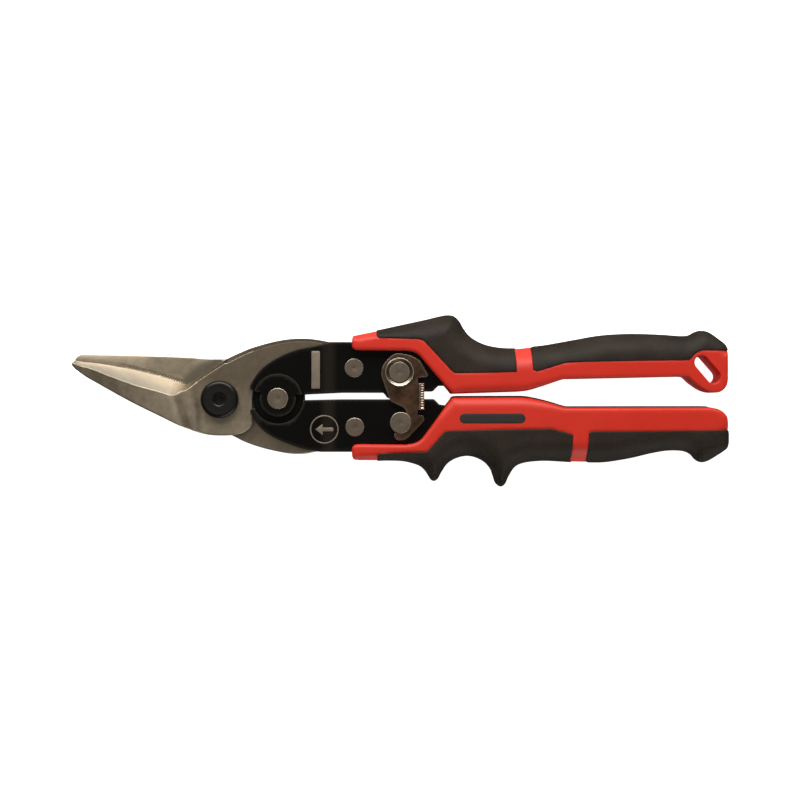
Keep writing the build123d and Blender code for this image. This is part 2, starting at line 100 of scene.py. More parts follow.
# ---------------------------------------------------------------- outlines
STEP = 0.3      # between the points of a drawn line
FINE = 0.1      # between its points while its corners are rounded


def smooth_run(points):
    """Points along a smooth curve through the given ones."""
    p = np.array(points, float)
    p = np.vstack([2 * p[0] - p[1], p, 2 * p[-1] - p[-2]])
    out = []
    for i in range(1, len(p) - 2):
        n = max(2, int(np.linalg.norm(p[i + 1] - p[i]) / STEP))
        t = np.linspace(0, 1, n, endpoint=False)[:, None]
        before, here, after = (p[k + 1] - p[k] for k in (i - 1, i, i + 1))
        knots = [np.linalg.norm(chord) ** 0.5 for chord in (before, here, after)]
        m1 = here - knots[1] * ((p[i + 1] - p[i - 1]) / (knots[0] + knots[1]) - before / knots[0])
        m2 = here - knots[1] * ((p[i + 2] - p[i]) / (knots[1] + knots[2]) - after / knots[2])
        h00, h10 = 2 * t ** 3 - 3 * t ** 2 + 1, t ** 3 - 2 * t ** 2 + t
        h01, h11 = -2 * t ** 3 + 3 * t ** 2, t ** 3 - t ** 2
        out.append(h00 * p[i] + h10 * m1 + h01 * p[i + 1] + h11 * m2)
    return np.vstack(out + [p[-2:-1]])


def path(start, *runs):
    """Open line of points: it runs straight to a point, and in a smooth curve through a list of points."""
    line = [np.array([start], float)]
    here = start
    for run in runs:
        if isinstance(run, list):
            piece = smooth_run([here, *run])
            here = run[-1]
        else:
            piece = np.linspace(here, run, max(2, int(math.dist(here, run) / STEP)))
            here = run
        line.append(piece[1:])
    return np.vstack(line)


def evenly(line, step):
    """The same closed line with its points a step apart."""
    p = np.vstack([line, line[:1]])
    along = np.concatenate([[0], np.cumsum(np.linalg.norm(np.diff(p, axis=0), axis=1))])
    n = max(3, int(round(along[-1] / step)))
    s = np.linspace(0, along[-1], n, endpoint=False)
    return np.column_stack([np.interp(s, along, p[:, 0]), np.interp(s, along, p[:, 1])])


def loop(line, step, soft):
    """Closed outline with its points a step apart and its corners rounded by about soft."""
    fine = evenly(line, FINE)
    if soft > 0:
        shifts = np.arange(-30, 31)
        weight = np.exp(-0.5 * (shifts * FINE / soft) ** 2)
        weight /= weight.sum()
        fine = sum(w * np.roll(fine, -k, axis=0) for k, w in zip(shifts, weight))
    shape = evenly(fine, step)
    area = np.sum(shape[:, 0] * np.roll(shape[:, 1], -1) - np.roll(shape[:, 0], -1) * shape[:, 1])
    return shape if area > 0 else shape[::-1]


def arc(centre, radius, start, end):
    """Points along an arc, angles in degrees."""
    n = max(4, int(abs(math.radians(end - start)) * radius / STEP))
    a = np.radians(np.linspace(start, end, n))
    return np.column_stack([centre[0] + radius * np.cos(a), centre[1] + radius * np.sin(a)])


def turned(line):
    """An outline seen from the rear side, where y runs the other way."""
    return np.array(line, float) * (1, -1)


# ---------------------------------------------------------------- distances
TREES = {}


def search_tree(points):
    tree = KDTree(len(points))
    for i, (x, y) in enumerate(points):
        tree.insert((x, y, 0), i)
    tree.balance()
    return tree


def line_tree(line, closed):
    """A search tree over points no more than a step apart along a line, and those points."""
    key = (line.tobytes(), closed)
    if key not in TREES:
        ends = np.vstack([line, line[:1]]) if closed else line
        fine = [ends[:1]]
        for a, b in zip(ends[:-1], ends[1:]):
            n = int(np.linalg.norm(b - a) / STEP) + 1
            fine.append(a + (b - a) * np.linspace(0, 1, n + 1)[1:, None])
        fine = np.vstack(fine)
        TREES[key] = (search_tree(fine), fine)
    return TREES[key]


def segment_distance(points, line, closed=True):
    """Distance of each point from a line of points."""
    tree, fine = line_tree(line, closed)
    near = np.array([tree.find((x, y, 0))[1] for x, y in points], int)
    out = np.full(len(points), np.inf)
    for first in (np.clip(near - 1, 0, None), np.clip(near, None, len(fine) - 2)):
        a = fine[first]
        ab = fine[first + 1] - a
        t = np.clip(((points - a) * ab).sum(1) / np.maximum((ab ** 2).sum(1), 1e-12), 0, 1)
        out = np.minimum(out, np.linalg.norm(a + t[:, None] * ab - points, axis=1))
    return out


def rim_distance(points, loops):
    """Distance of each point from the nearest of several outlines."""
    return np.min([segment_distance(points, line) for line in loops], axis=0)


def inside(points, loops):
    """Whether each point is inside an outline, and outside its holes."""
    odd = np.zeros(len(points), bool)
    at_once = 4000
    for line in loops:
        a, b = line, np.roll(line, -1, axis=0)
        for k in range(0, len(points), at_once):
            p = points[k:k + at_once, None, :]
            spans = (a[:, 1] > p[..., 1]) != (b[:, 1] > p[..., 1])
            slope = np.where(b[:, 1] == a[:, 1], 1e-12, b[:, 1] - a[:, 1])
            cut = a[:, 0] + (p[..., 1] - a[:, 1]) * (b[:, 0] - a[:, 0]) / slope
            odd[k:k + at_once] ^= ((spans & (p[..., 0] < cut)).sum(1) % 2).astype(bool)
    return odd


def step_up(x, low, high):
    """0 below low, 1 above high, smooth between."""
    t = np.clip((x - low) / (high - low), 0, 1)
    return t * t * (3 - 2 * t)


def reach(places, centre):
    """Distance of each place from a plan point."""
    return np.hypot(places[:, 0] - centre[0], places[:, 1] - centre[1])


def soft_min(a, b, width):
    """The lower of two heights, with their crease rounded over a width."""
    h = np.clip(0.5 + 0.5 * (b - a) / width, 0, 1)
    return b * (1 - h) + a * h - width * h * (1 - h)


def round_edge(d, radius):
    """Drop of a surface at a distance d inside an edge that is rounded by a radius."""
    inner = np.clip(radius - d, 0, radius)
    return radius - np.sqrt(np.maximum(radius ** 2 - inner ** 2, 0))


# ---------------------------------------------------------------- meshes
SAME = 0.02     # where a solid is thinner than this at its outline, it comes to an edge


def slot_name(material):
    """A material's own name, without the number that Blender adds when the frame has that name already."""
    return material.name.split(".")[0]


def new_object(name, shape, body, material, sharp, *replaced, slot=None):
    """A smooth-shaded piece, given as its vertices and faces, that rides a body. Edges above the sharp angle
    stay sharp. The slot argument is not used."""
    mesh = bpy.data.meshes.new(name)
    mesh.from_pydata([tuple(v) for v in shape[0]], [], shape[1])
    mesh.validate()
    mesh.update()
    mesh.shade_smooth()
    mesh.set_sharp_from_angle(angle=math.radians(sharp))
    obj = bpy.data.objects.new(name, mesh)
    bpy.context.scene.collection.objects.link(obj)
    obj.data.materials.append(material)
    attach(obj, body)
    if replaced:
        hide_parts(*replaced)
    return obj


def repaint(obj, material, chosen):
    """Gives a second material to the faces that chosen picks by their middles, in mm, and their normals."""
    faces = obj.data.polygons
    middle, normal = np.zeros(3 * len(faces)), np.zeros(3 * len(faces))
    faces.foreach_get("center", middle)
    faces.foreach_get("normal", normal)
    obj.data.materials.append(material)
    pick = chosen(middle.reshape(-1, 3) / MM, normal.reshape(-1, 3))
    faces.foreach_set("material_index", pick.astype(np.int32))


def beside(line, amounts):
    """Rows of points to the right of a line, seen along it, by the given amounts, which may vary along it."""
    along = np.gradient(line, axis=0)
    along /= np.linalg.norm(along, axis=1)[:, None]
    normal = np.column_stack([along[:, 1], -along[:, 0]])
    return [line + np.reshape(amount, (-1, 1)) * normal for amount in amounts]


def to_row(points, heights, side):
    """Plan points and heights from the shear plane, in the row frame in metres."""
    return np.column_stack([points[:, 0], side * points[:, 1], SHEAR + side * heights]) * MM


def even_grid(line, spacing):
    low, high = line.min(0), line.max(0)
    xs = np.arange(low[0], high[0], spacing)
    ys = np.arange(low[1], high[1], spacing * 0.866)
    return np.array([(x + (j % 2) * spacing / 2, y) for j, y in enumerate(ys) for x in xs])


def plan_points(loops, spacing, rings, rows):
    """Points that fill an outline: the outline, rings inside it, extra rows of points, and an even grid."""
    edges, points = [], []
    for line in loops:
        first = sum(len(p) for p in points)
        points.append(line)
        n = len(line)
        edges += [(first + i, first + (i + 1) % n) for i in range(n)]
    kept = []
    for line in loops:
        along = np.roll(line, -1, axis=0) - np.roll(line, 1, axis=0)
        along /= np.maximum(np.linalg.norm(along, axis=1), 1e-9)[:, None]
        normal = np.column_stack([-along[:, 1], along[:, 0]])
        for ring in rings:
            for sign in (1, -1):
                inner = line + sign * ring * normal
                kept.append(inner[(rim_distance(inner, loops) > ring * 0.93) & inside(inner, loops)])
    clear = spacing * 0.45
    grid = even_grid(loops[0], spacing)
    grid = grid[inside(grid, loops)]
    grid = grid[rim_distance(grid, loops) > max(rings, default=0) + clear]
    if len(rows):
        rows = np.vstack(rows)
        rows = rows[inside(rows, loops)]
        rows = rows[rim_distance(rows, loops) > 0.15]
        kept.append(rows)
        tree = search_tree(rows)
        grid = grid[[tree.find((x, y, 0))[2] > clear for x, y in grid]]
    return np.vstack(points + kept + [grid]), edges


def relief(loops, top, bottom, spacing, rings, rows=()):
    """Closed solid over an outline: its upper and lower surfaces are functions of the plan points and of
    their distance from the outline. Rows are extra points, along a crease."""
    points, edges = plan_points(loops, spacing, rings, rows)
    verts, _, tris, _, _, _ = delaunay_2d_cdt([Vector(p) for p in points], edges, [], 0, 1e-5)
    plan = np.array([(v.x, v.y) for v in verts])
    tris = np.array([t for t in tris if len(t) == 3])
    tris = tris[inside(plan[tris].mean(1), loops)]
    a, b, c = plan[tris[:, 0]], plan[tris[:, 1]], plan[tris[:, 2]]
    area = (b[:, 0] - a[:, 0]) * (c[:, 1] - a[:, 1]) - (b[:, 1] - a[:, 1]) * (c[:, 0] - a[:, 0])
    keep = np.abs(area) > 1e-7
    tris, area = tris[keep], area[keep]
    tris[area < 0] = tris[area < 0][:, ::-1]
    used = np.unique(tris)
    index = -np.ones(len(plan), int)
    index[used] = np.arange(len(used))
    plan, tris = plan[used], index[tris]
    d = rim_distance(plan, loops)
    d[d < 0.01] = 0
    z_top, z_bottom = top(plan, d), bottom(plan, d)
    sides = dict.fromkeys(map(tuple, np.vstack([tris[:, [0, 1]], tris[:, [1, 2]], tris[:, [2, 0]]])))
    rim = [(i, j) for i, j in sides if (j, i) not in sides]
    n = len(plan)
    closed = {i for i, _ in rim if z_top[i] - z_bottom[i] < SAME}
    lower = np.array([i if i in closed else n + i for i in range(n)])
    faces = [tuple(t) for t in tris] + [tuple(lower[t][::-1]) for t in tris]
    for i, j in rim:
        wall = [j, i, lower[i], lower[j]]
        wall = [v for k, v in enumerate(wall) if v not in wall[:k]]
        if len(wall) > 2:
            faces.append(tuple(wall))
    return np.vstack([plan, plan]), np.concatenate([z_top, z_bottom]), faces


def level(height):
    """A flat surface, as relief wants one."""
    return lambda plan, d: np.full(len(plan), height)


def join(parts):
    """Several (vertices, faces) as one."""
    vertices, faces, first = [], [], 0
    for v, f in parts:
        vertices.append(v)
        faces += [tuple(int(i) + first for i in face) for face in f]
        first += len(v)
    return np.vstack(vertices), faces


def solid(side, *args, **more):
    """A relief on one side of the shear plane."""
    plan, z, faces = relief(*args, **more)
    return to_row(plan, z, side), faces


def lathe(profile, centre, side=FRONT, turns=72):
    """Solid turned about a line through a plan point: a profile point is a radius and a height."""
    profile = np.array(profile, float)
    vertices, faces, n = [], [], len(profile)
    for k in range(turns):
        a = 2 * math.pi * k / turns
        for r, z in profile:
            x, y = centre[0] + r * math.cos(a), centre[1] + r * math.sin(a)
            vertices.append((x, side * y, SHEAR + side * z))
    for k in range(turns):
        nxt = (k + 1) % turns
        for i in range(n - 1):
            quad = [k * n + i, nxt * n + i, nxt * n + i + 1, k * n + i + 1]
            if profile[i][0] < 1e-6:
                quad = [i, nxt * n + i + 1, k * n + i + 1]
            elif profile[i + 1][0] < 1e-6:
                quad = [k * n + i, nxt * n + i, i + 1]
            faces.append(tuple(quad))
    return np.array(vertices) * MM, faces


def rounding(cx, cz, radius, n=6):
    """Quarter circle of a profile, from its outer side to its top."""
    return [(cx + radius * math.cos(math.radians(a)), cz + radius * math.sin(math.radians(a)))
            for a in np.linspace(0, 90, n)]


# ---------------------------------------------------------------- materials
def shader_graph(name):
    mat = bpy.data.materials.new(name)
    mat.use_nodes = True
    tree = mat.node_tree
    tree.nodes.clear()
    out = tree.nodes.new("ShaderNodeOutputMaterial")
    bsdf = tree.nodes.new("ShaderNodeBsdfPrincipled")
    tree.links.new(bsdf.outputs["BSDF"], out.inputs["Surface"])
    place = tree.nodes.new("ShaderNodeTexCoord").outputs["Object"]
    return mat, tree, bsdf, place


def fill(tree, node, inputs):
    """Gives each input of a node a value, or a link from another node's output."""
    for key, value in inputs.items():
        if isinstance(value, bpy.types.NodeSocket):
            tree.links.new(value, node.inputs[key])
        else:
            node.inputs[key].default_value = value


def added(tree, kind, inputs):
    node = tree.nodes.new("ShaderNode" + kind)
    fill(tree, node, inputs)
    return node


def stretched(tree, place, scale):
    return added(tree, "Mapping", {"Scale": scale, "Vector": place}).outputs["Vector"]


def noise(tree, place, size_mm, detail=3.0, rough=0.55):
    """Noise whose features are about this many millimetres across."""
    inputs = {"Scale": 1 / (size_mm * MM), "Detail": detail, "Roughness": rough, "Vector": place}
    return added(tree, "TexNoise", inputs).outputs["Fac"]


def ramp(tree, value, low, high, from_low=0.3, from_high=0.7):
    """Value remapped, held between its two ends."""
    inputs = {"Value": value, "From Min": from_low, "From Max": from_high, "To Min": low, "To Max": high}
    return added(tree, "MapRange", inputs).outputs["Result"]


def along_axis(tree, place, axis, low, high, start, end):
    """Value that goes from low to high between two places on an axis, in millimetres."""
    position = added(tree, "SeparateXYZ", {0: place}).outputs[axis]
    return ramp(tree, position, low, high, start * MM, end * MM)


def mixed(tree, value, first, second):
    """Colour between two, by a value; each is a colour or another node's output."""
    node = tree.nodes.new("ShaderNodeMix")
    node.data_type = "RGBA"
    first, second = ((*colour, 1) if isinstance(colour, tuple) else colour for colour in (first, second))
    fill(tree, node, {0: value, 6: first, 7: second})
    return node.outputs[2]


def computed(tree, operation, *values):
    node = tree.nodes.new("ShaderNodeMath")
    node.operation = operation
    fill(tree, node, dict(enumerate(values)))
    return node.outputs[0]


def total(tree, *values):
    """Weighted sum of (output, weight) pairs."""
    last = 0.0
    for value, weight in values:
        last = computed(tree, "MULTIPLY_ADD", value, weight, last)
    return last


def bump(tree, bsdf, height, depth_mm):
    node = added(tree, "Bump", {"Strength": 1.0, "Distance": depth_mm * MM, "Height": height})
    tree.links.new(node.outputs["Normal"], bsdf.inputs["Normal"])


def edge_wear_and_highlight(tree, low=0.5, high=0.62):
    """How much a place is an outer edge, whose colour is lightened for wear and as a painted highlight."""
    return ramp(tree, tree.nodes.new("ShaderNodeNewGeometry").outputs["Pointiness"], 0.0, 1.0, low, high)


def steel(name, light, dark, edge, rough=(0.34, 0.46), mottle=1.6, grain=0.25, depth=0.006, shade=None):
    """Satin metal: mottled tone, fine grain, faint long scratches, and outer edges lightened for wear and as
    a painted highlight. Shade changes the colour from place to place, to paint light or shade into it."""
    mat, tree, bsdf, place = shader_graph(name)
    blotch = noise(tree, place, 6.0, 4.0)
    patch = noise(tree, place, mottle, 4.0, 0.65)
    fine = noise(tree, place, grain, 2.0)
    long = noise(tree, stretched(tree, place, (0.12, 1.0, 1.0)), 0.5, 2.0)
    tone = total(tree, (blotch, 0.45), (patch, 0.35), (fine, 0.2))
    colour = mixed(tree, ramp(tree, tone, 0, 1, 0.38, 0.62), dark, light)
    if shade:
        colour = shade(tree, place, colour)
    colour = mixed(tree, edge_wear_and_highlight(tree), colour, edge)
    sheen = ramp(tree, total(tree, (patch, 0.6), (fine, 0.4)), *rough)
    fill(tree, bsdf, {"Base Color": colour, "Roughness": sheen, "Metallic": 1.0})
    bump(tree, bsdf, total(tree, (fine, 0.6), (long, 0.4)), depth)
    return mat


def ground_painted_reflection(tree, place, colour):
    """Ground bevel, made brighter by a painted reflection of the pale floor, from the tip of the jaw to its
    root, where the grinding runs out.
    """
    return mixed(tree, along_axis(tree, place, 0, 0, 1, -18.5, -13.5), colour, (0.36, 0.30, 0.22))


def bearing_painted_shade(tree, place, colour):
    """Painted shade: darker on the round bearing about the main pivot."""
    away = added(tree, "VectorMath", {0: stretched(tree, place, (1, 1, 0))})
    away.operation = "LENGTH"
    near = ramp(tree, away.outputs["Value"], 0, 1, 17.5 * MM, 15.2 * MM)
    return mixed(tree, near, colour, (0.20, 0.175, 0.13))


def tang_painted_shade(tree, place, colour):
    """Painted shade, for light that falls off: darker from the pivot upwards and along the tang."""
    behind = along_axis(tree, place, 0, 0, 1, -17, -3)
    above = along_axis(tree, place, 1, 0, 0.75, -9, 8)
    return mixed(tree, computed(tree, "MULTIPLY", behind, above), colour, (0.145, 0.115, 0.08))


def painted(name, light, dark, rough, metallic=0.0, specular=0.5, band=None, edge_highlight=None):
    """Black finish on steel: faint cloudiness in tone and sheen, a paler band painted as the reflection where
    the sheet is bent, and edges painted lighter as a highlight."""
    mat, tree, bsdf, place = shader_graph(name)
    cloud = noise(tree, place, 7.0, 3.0)
    fine = noise(tree, place, 0.3, 2.0)
    tone = total(tree, (cloud, 0.7), (fine, 0.3))
    colour = mixed(tree, ramp(tree, tone, 0, 1), dark, light)
    # Painted reflection: a paler band across the plate where the sheet is bent.
    if band:
        rise = along_axis(tree, place, 0, 0, 1, band[0] - 0.5, band[0] + 2.0)
        fall = along_axis(tree, place, 0, 1, 0, band[1] - 2.0, band[1] + 0.3)
        colour = mixed(tree, computed(tree, "MULTIPLY", rise, fall), colour, (0.013, 0.0108, 0.0082))
    # Painted highlight: outer edges lightened.
    if edge_highlight:
        colour = mixed(tree, edge_wear_and_highlight(tree, 0.505, 0.58), colour, edge_highlight)
    fill(tree, bsdf, {"Base Color": colour, "Roughness": ramp(tree, tone, *rough), "Metallic": metallic,
                      "Specular IOR Level": specular})
    bump(tree, bsdf, fine, 0.004)
    return mat


def moulded(name, light, dark, rough, grain, depth, specular):
    """Moulded plastic or rubber: nearly even colour, with a fine texture."""
    mat, tree, bsdf, place = shader_graph(name)
    cloud = noise(tree, place, 9.0, 2.0)
    fine = noise(tree, place, grain, 2.0, 0.6)
    pores = noise(tree, place, grain * 0.45, 1.0)
    tone = total(tree, (cloud, 0.5), (fine, 0.5))
    fill(tree, bsdf, {"Base Color": mixed(tree, ramp(tree, tone, 0, 1), dark, light),
                      "Roughness": ramp(tree, fine, *rough), "Specular IOR Level": specular})
    bump(tree, bsdf, total(tree, (fine, 0.6), (pores, 0.4)), depth)
    return mat


# The third colour of each steel is for its outer edges, lightened for wear and as a painted highlight.
FORGED_TONES = ((0.43, 0.36, 0.268), (0.31, 0.257, 0.186), (0.70, 0.64, 0.54), (0.42, 0.54))
# Forged steel with painted shade from the pivot up and along the tang.
FORGED = steel("forged_steel", *FORGED_TONES, shade=tang_painted_shade)
# A copy of it with painted shade on the bearing about the pivot.
BEARING_SHADE = steel("forged_steel_bearing_shade", *FORGED_TONES, shade=bearing_painted_shade)
# Ground steel, made brighter by a painted reflection of the pale floor.
GROUND_REFLECTION = steel("ground_steel_painted_reflection", (0.97, 0.92, 0.81), (0.88, 0.80, 0.69), (0.9, 0.85, 0.78), (0.42, 0.54),
               grain=0.4, shade=ground_painted_reflection)
RIVET = steel("rivet_steel", (0.27, 0.215, 0.165), (0.19, 0.15, 0.113), (0.66, 0.60, 0.50), mottle=0.9,
              depth=0.003)
# Painted highlight for the rounded rims of rivet heads.
RIVET_RIM_HIGHLIGHT = steel("rivet_rim_highlight", (0.50, 0.43, 0.34), (0.40, 0.34, 0.27), (0.66, 0.60, 0.50), (0.40, 0.50))
LATCHED = steel("latch_steel", (0.160, 0.092, 0.058), (0.055, 0.029, 0.018), (0.5, 0.44, 0.36), (0.30, 0.44),
                mottle=2.4)
# Painted highlight for the latch's edges and the crests of its tab's ridges.
LATCH_EDGE_HIGHLIGHT = steel("latch_edge_highlight", (0.55, 0.47, 0.37), (0.40, 0.33, 0.25), (0.8, 0.74, 0.64), (0.40, 0.50))
PLATED = steel("plated_steel", (0.60, 0.53, 0.43), (0.50, 0.44, 0.35), (0.8, 0.76, 0.68), (0.28, 0.34),
               depth=0.002)
# Painted shade: a dull, dark steel for the washer's inner dish, which dims its reflection.
DISH_SHADE = steel("dish_painted_shade", (0.20, 0.182, 0.15), (0.165, 0.15, 0.122), (0.24, 0.22, 0.18), (0.30, 0.36),
             depth=0.002)
SPRING = steel("spring_steel", (0.42, 0.40, 0.37), (0.30, 0.285, 0.26), (0.6, 0.58, 0.54), (0.28, 0.36))
# The black plate carries a painted reflection where it is bent, and a painted highlight along its edges.
PLATE = painted("black_plate", (0.0026, 0.0024, 0.0020), (0.0014, 0.0013, 0.0011), (0.30, 0.38),
                specular=0.10, band=(38.4, 44.5), edge_highlight=(0.060, 0.052, 0.042))
BLACK = painted("black_steel", (0.007, 0.0064, 0.0052), (0.0045, 0.0042, 0.0034), (0.30, 0.40),
                specular=0.3)
RED = moulded("red_plastic", (0.66, 0.027, 0.011), (0.60, 0.022, 0.009), (0.44, 0.54), 0.5, 0.012, 0.4)
RUBBER = moulded("black_grip", (0.030, 0.021, 0.0135), (0.011, 0.0080, 0.0052), (0.54, 0.68), 0.6, 0.20,
                 0.25)
INK = painted("plate_ink", (0.30, 0.25, 0.19), (0.22, 0.18, 0.14), (0.45, 0.6), metallic=0.6)
LABEL = painted("grip_ink", (0.020, 0.016, 0.014), (0.012, 0.010, 0.009), (0.5, 0.6))


# ---------------------------------------------------------------- blades
JAW_X = (-60.0, -49.3, -43.8, -37.9, -31.0, -25.0, -22.7, -18.8, -17.8, -14.0, -13.0, -11.4, -10.6, -8.8,
         -8.0, 90.0)
JAW_Z = (0.9, 4.0, 6.1, 7.8, 9.05, 9.5, 9.5, 9.4, 9.1, 6.5, 6.2, 5.9, 5.65, 4.7, 4.5, 4.5)
BEVEL = 1 / math.tan(math.radians(30.0))    # rise of the ground bevel
NOTCH = 3.1             # rise of the wall of the notch
TANG_DROP = 1.9         # of the bevel along the top of the tang
SPINE_DROP = 1.1        # of the rounded spine of the back blade
GROUND_END = -11.5      # where the grinding of the bevels ends
BEARING_R = 18.5        # of the bearing on the back blade's inner face, with its border
EDGE_ROUND = 0.5
BLADE_MESH = dict(spacing=0.7, rings=(0.12, 0.3, 0.6))


def jaw_profile(x, y=2.0):
    """Thickness of a blade along its length. The steps behind the jaw lean with its edge."""
    lean = np.interp(x, (-26, -20, -13, -8), (0.0, 0.36, 0.30, 0.14))
    u = x + lean * (np.asarray(y) - 2.0)
    return np.mean([np.interp(u + r, JAW_X, JAW_Z) for r in np.linspace(-0.6, 0.6, 7)], axis=0)


TANG_TOP = seen(path((2.5, 15.2), [
    (7.7, 17.6), (11.8, 19.3), (20.6, 21.8), (26.6, 22.8), (32.5, 23.0), (36.8, 22.6), (41.2, 21.8)]),
    SHEAR + 2)
FRONT_EDGE = seen(path((-54.9, 14.7), [
    (-52.0, 14.2), (-47.2, 13.7), (-42.3, 13.0), (-35.9, 11.75), (-30.0, 10.4), (-24.2, 9.0), (-18.9, 7.45),
    (-15.0, 6.15), (-12.6, 5.65)]), SHEAR)
FRONT_NOTCH = seen(path((-12.6, 5.65), [(-11.1, 6.35), (-8.0, 8.5), (1.6, 14.8)]), SHEAR + 1)
FRONT_LINE = np.vstack([FRONT_EDGE, FRONT_NOTCH])
FRONT_HEEL = seen([(12.6, -6.5), (12.4, -9.0), (11.0, -11.2), (7.7, -13.1), (2.3, -13.75), (-5.6, -13.2)],
                  SHEAR + 4)
FRONT_BELLY = [(-14.6, -10.1), (-21.9, -6.8), (-34.0, -0.8), (-46.3, 6.0), (-50.8, 8.5), (-53.8, 10.7),
               (-55.0, 11.6), (-56.0, 12.7), (-56.3, 13.6)]
FRONT_BELLY = seen(FRONT_BELLY, SHEAR + jaw_profile(np.array(FRONT_BELLY)[:, 0]) - 0.3)
front_outline = loop(np.vstack([
    path(FRONT_BELLY[-1], [(-55.9, 14.8), (-55.2, 15.3), FRONT_EDGE[0]]),
    FRONT_EDGE, FRONT_NOTCH[1:], TANG_TOP,
    path(TANG_TOP[-1], [(49.6, 18.7), (57.1, 15.35), (54.5, 5.75), (48.6, 5.3)],
         (33.5, 9.6), [(28.4, 9.2), (18.3, 9.3), (13.6, 5.0), (12.45, 0.3)], FRONT_HEEL[0],
         [*FRONT_HEEL[1:], FRONT_BELLY[0], FRONT_BELLY[1]], list(FRONT_BELLY[2:])),
]), 0.35, 0.12)


def shelf_slope(x):
    """The bevel behind the cutting edge runs into the steeper wall of the notch."""
    return BEVEL + (NOTCH - BEVEL) * (0.06 * step_up(x, -30, -22) + 0.94 * step_up(x, -17.4, -10.2))


def front_shelf(plan):
    return RUN + shelf_slope(plan[:, 0]) * segment_distance(plan, FRONT_LINE, False)


def front_rows():
    """Rows of points along the line where the bevel and the notch's wall meet the outer face, and along the
    inner edge of the tang's bevel."""
    rows, ends = [], []
    for line in (FRONT_EDGE, FRONT_NOTCH):
        along = np.gradient(line, axis=0)
        angle = np.unwrap(np.arctan2(-along[:, 0], along[:, 1]))
        rows.append(np.column_stack([line, angle]))
        ends.append(angle[[0, -1]])
    rays = 16
    fan = np.linspace(ends[0][1], ends[1][0], rays)
    start = np.vstack([rows[0], np.column_stack([np.tile(FRONT_EDGE[-1], (rays, 1)), fan]), rows[1]])
    normal = np.column_stack([np.cos(start[:, 2]), np.sin(start[:, 2])])
    wide = np.ones(len(start))
    for _ in range(25):
        place = start[:, :2] + wide[:, None] * normal
        wide = 0.5 * wide + 0.5 * (jaw_profile(place[:, 0], place[:, 1]) - RUN) / shelf_slope(place[:, 0])
    shelf = [start[:, :2] + (wide + k)[:, None] * normal
             for k in (-0.5, -0.3, -0.18, -0.08, 0, 0.08, 0.18, 0.3, 0.5)]
    wide = tang_bevel(TANG_TOP[:, 0])
    return shelf + beside(TANG_TOP, [wide + k for k in (-0.5, -0.25, -0.1, 0.0, 0.1, 0.25)])


def tang_bevel(x):
    return np.interp(x, (2, 12, 40), (1.8, 1.5, 1.2))


def front_top(plan, d):
    """Outer face of the front blade."""
    x, y = plan[:, 0], plan[:, 1]
    width = np.interp(x, (-30, -16), (0.25, 0.5))
    z = soft_min(jaw_profile(x, y), front_shelf(plan), width)
    side = np.clip(1 - segment_distance(plan, TANG_TOP, False) / tang_bevel(x), 0, 1)
    z = z - TANG_DROP * side * step_up(x, -1, 3)
    away = segment_distance(plan, FRONT_LINE, False)
    z = z - round_edge(d, EDGE_ROUND) * step_up(away, 0.5, 1.5) * (side == 0)
    return np.maximum(z, RUN + 0.01 + 0.25 * np.clip(d, 0, 0.5))


def build_front_blade():
    mesh = solid(FRONT, [front_outline], front_top, level(RUN), rows=front_rows(), **BLADE_MESH)
    obj = new_object("front_blade_forging", mesh, "front_blade_set", FORGED, 50, "front_blade")

    def bevel(middle, normal):
        plan = middle[:, :2]
        below = front_shelf(plan) < jaw_profile(plan[:, 0], plan[:, 1]) - 0.05
        return below & (plan[:, 0] < GROUND_END) & (normal[:, 2] > 0.2)

    # The ground bevel takes the steel with the painted reflection.
    repaint(obj, GROUND_REFLECTION, bevel)


# The back blade is described from the back, where y runs the other way.
BACK_EDGE = path((-54.9, -13.5), [(-44.0, -12.0), (-34.0, -10.2), (-23.0, -7.7), (-12.6, -4.4)])
BACK_SPINE = turned(seen(path(
    (-54.7, 14.4), [(-54.5, 15.3), (-53.9, 15.95), (-53.2, 16.6), (-52.2, 17.05), (-47.2, 17.05)],
    [(-37.9, 16.75), (-26.5, 16.4), (-13.0, 15.85), (-3.3, 15.25), (2.5, 15.2)]), SHEAR - 1.5))
BACK_BELLY = turned(seen([
    (40.0, -19.0), (36.5, -19.9), (32.7, -20.6), (29.6, -20.75), (26.6, -20.6), (22.3, -19.9), (15.0, -18.1),
    (9.2, -16.0), (4.6, -13.7)], SHEAR))
back_outline = loop(np.vstack([
    BACK_SPINE,
    path(BACK_SPINE[-1], [(7.7, -13.4), (11.0, -11.0), (12.45, -7.0)], (12.45, -0.9),
         [(13.6, 4.6), (18.3, 8.9), (28.4, 8.7), (33.5, 8.6)], (48.9, 3.9),
         [(54.8, 4.4), (57.4, 14.0), (49.9, 17.4)], (45.8, 14.9), BACK_BELLY[0], list(BACK_BELLY[1:]),
         [(-3.5, 12.6), (-9.5, 8.6), (-12.6, 2.0)], BACK_EDGE[-1]),
    BACK_EDGE[::-1][1:],
    path(BACK_EDGE[0], BACK_SPINE[0]),
]), 0.35, 0.12)


def back_outer(plan, d):
    x, y = plan[:, 0], plan[:, 1]
    edge = np.interp(x, BACK_EDGE[:, 0], BACK_EDGE[:, 1])
    away = segment_distance(plan, BACK_EDGE, False)
    shelf = RUN + np.where(y > edge, 0, away) * BEVEL + step_up(x, GROUND_END - 3, GROUND_END) * 8
    shelf = np.where(x > GROUND_END, 99, shelf)
    z = soft_min(jaw_profile(x), shelf, 0.7)
    spine = np.clip(1 - segment_distance(plan, BACK_SPINE, False) / 1.6, 0, 1)
    return z - round_edge(d, EDGE_ROUND) * step_up(away, 0.5, 1.5) - SPINE_DROP * spine ** 2 * (x < 0)


RIDGE_PITCH = 1.15
RIDGE_WIDTH = 1.7


def above_edge(x, y):
    """How far a place on the back blade's inner face lies above the front blade's cutting edge."""
    return np.interp(x, FRONT_EDGE[:, 0], -FRONT_EDGE[:, 1]) - y


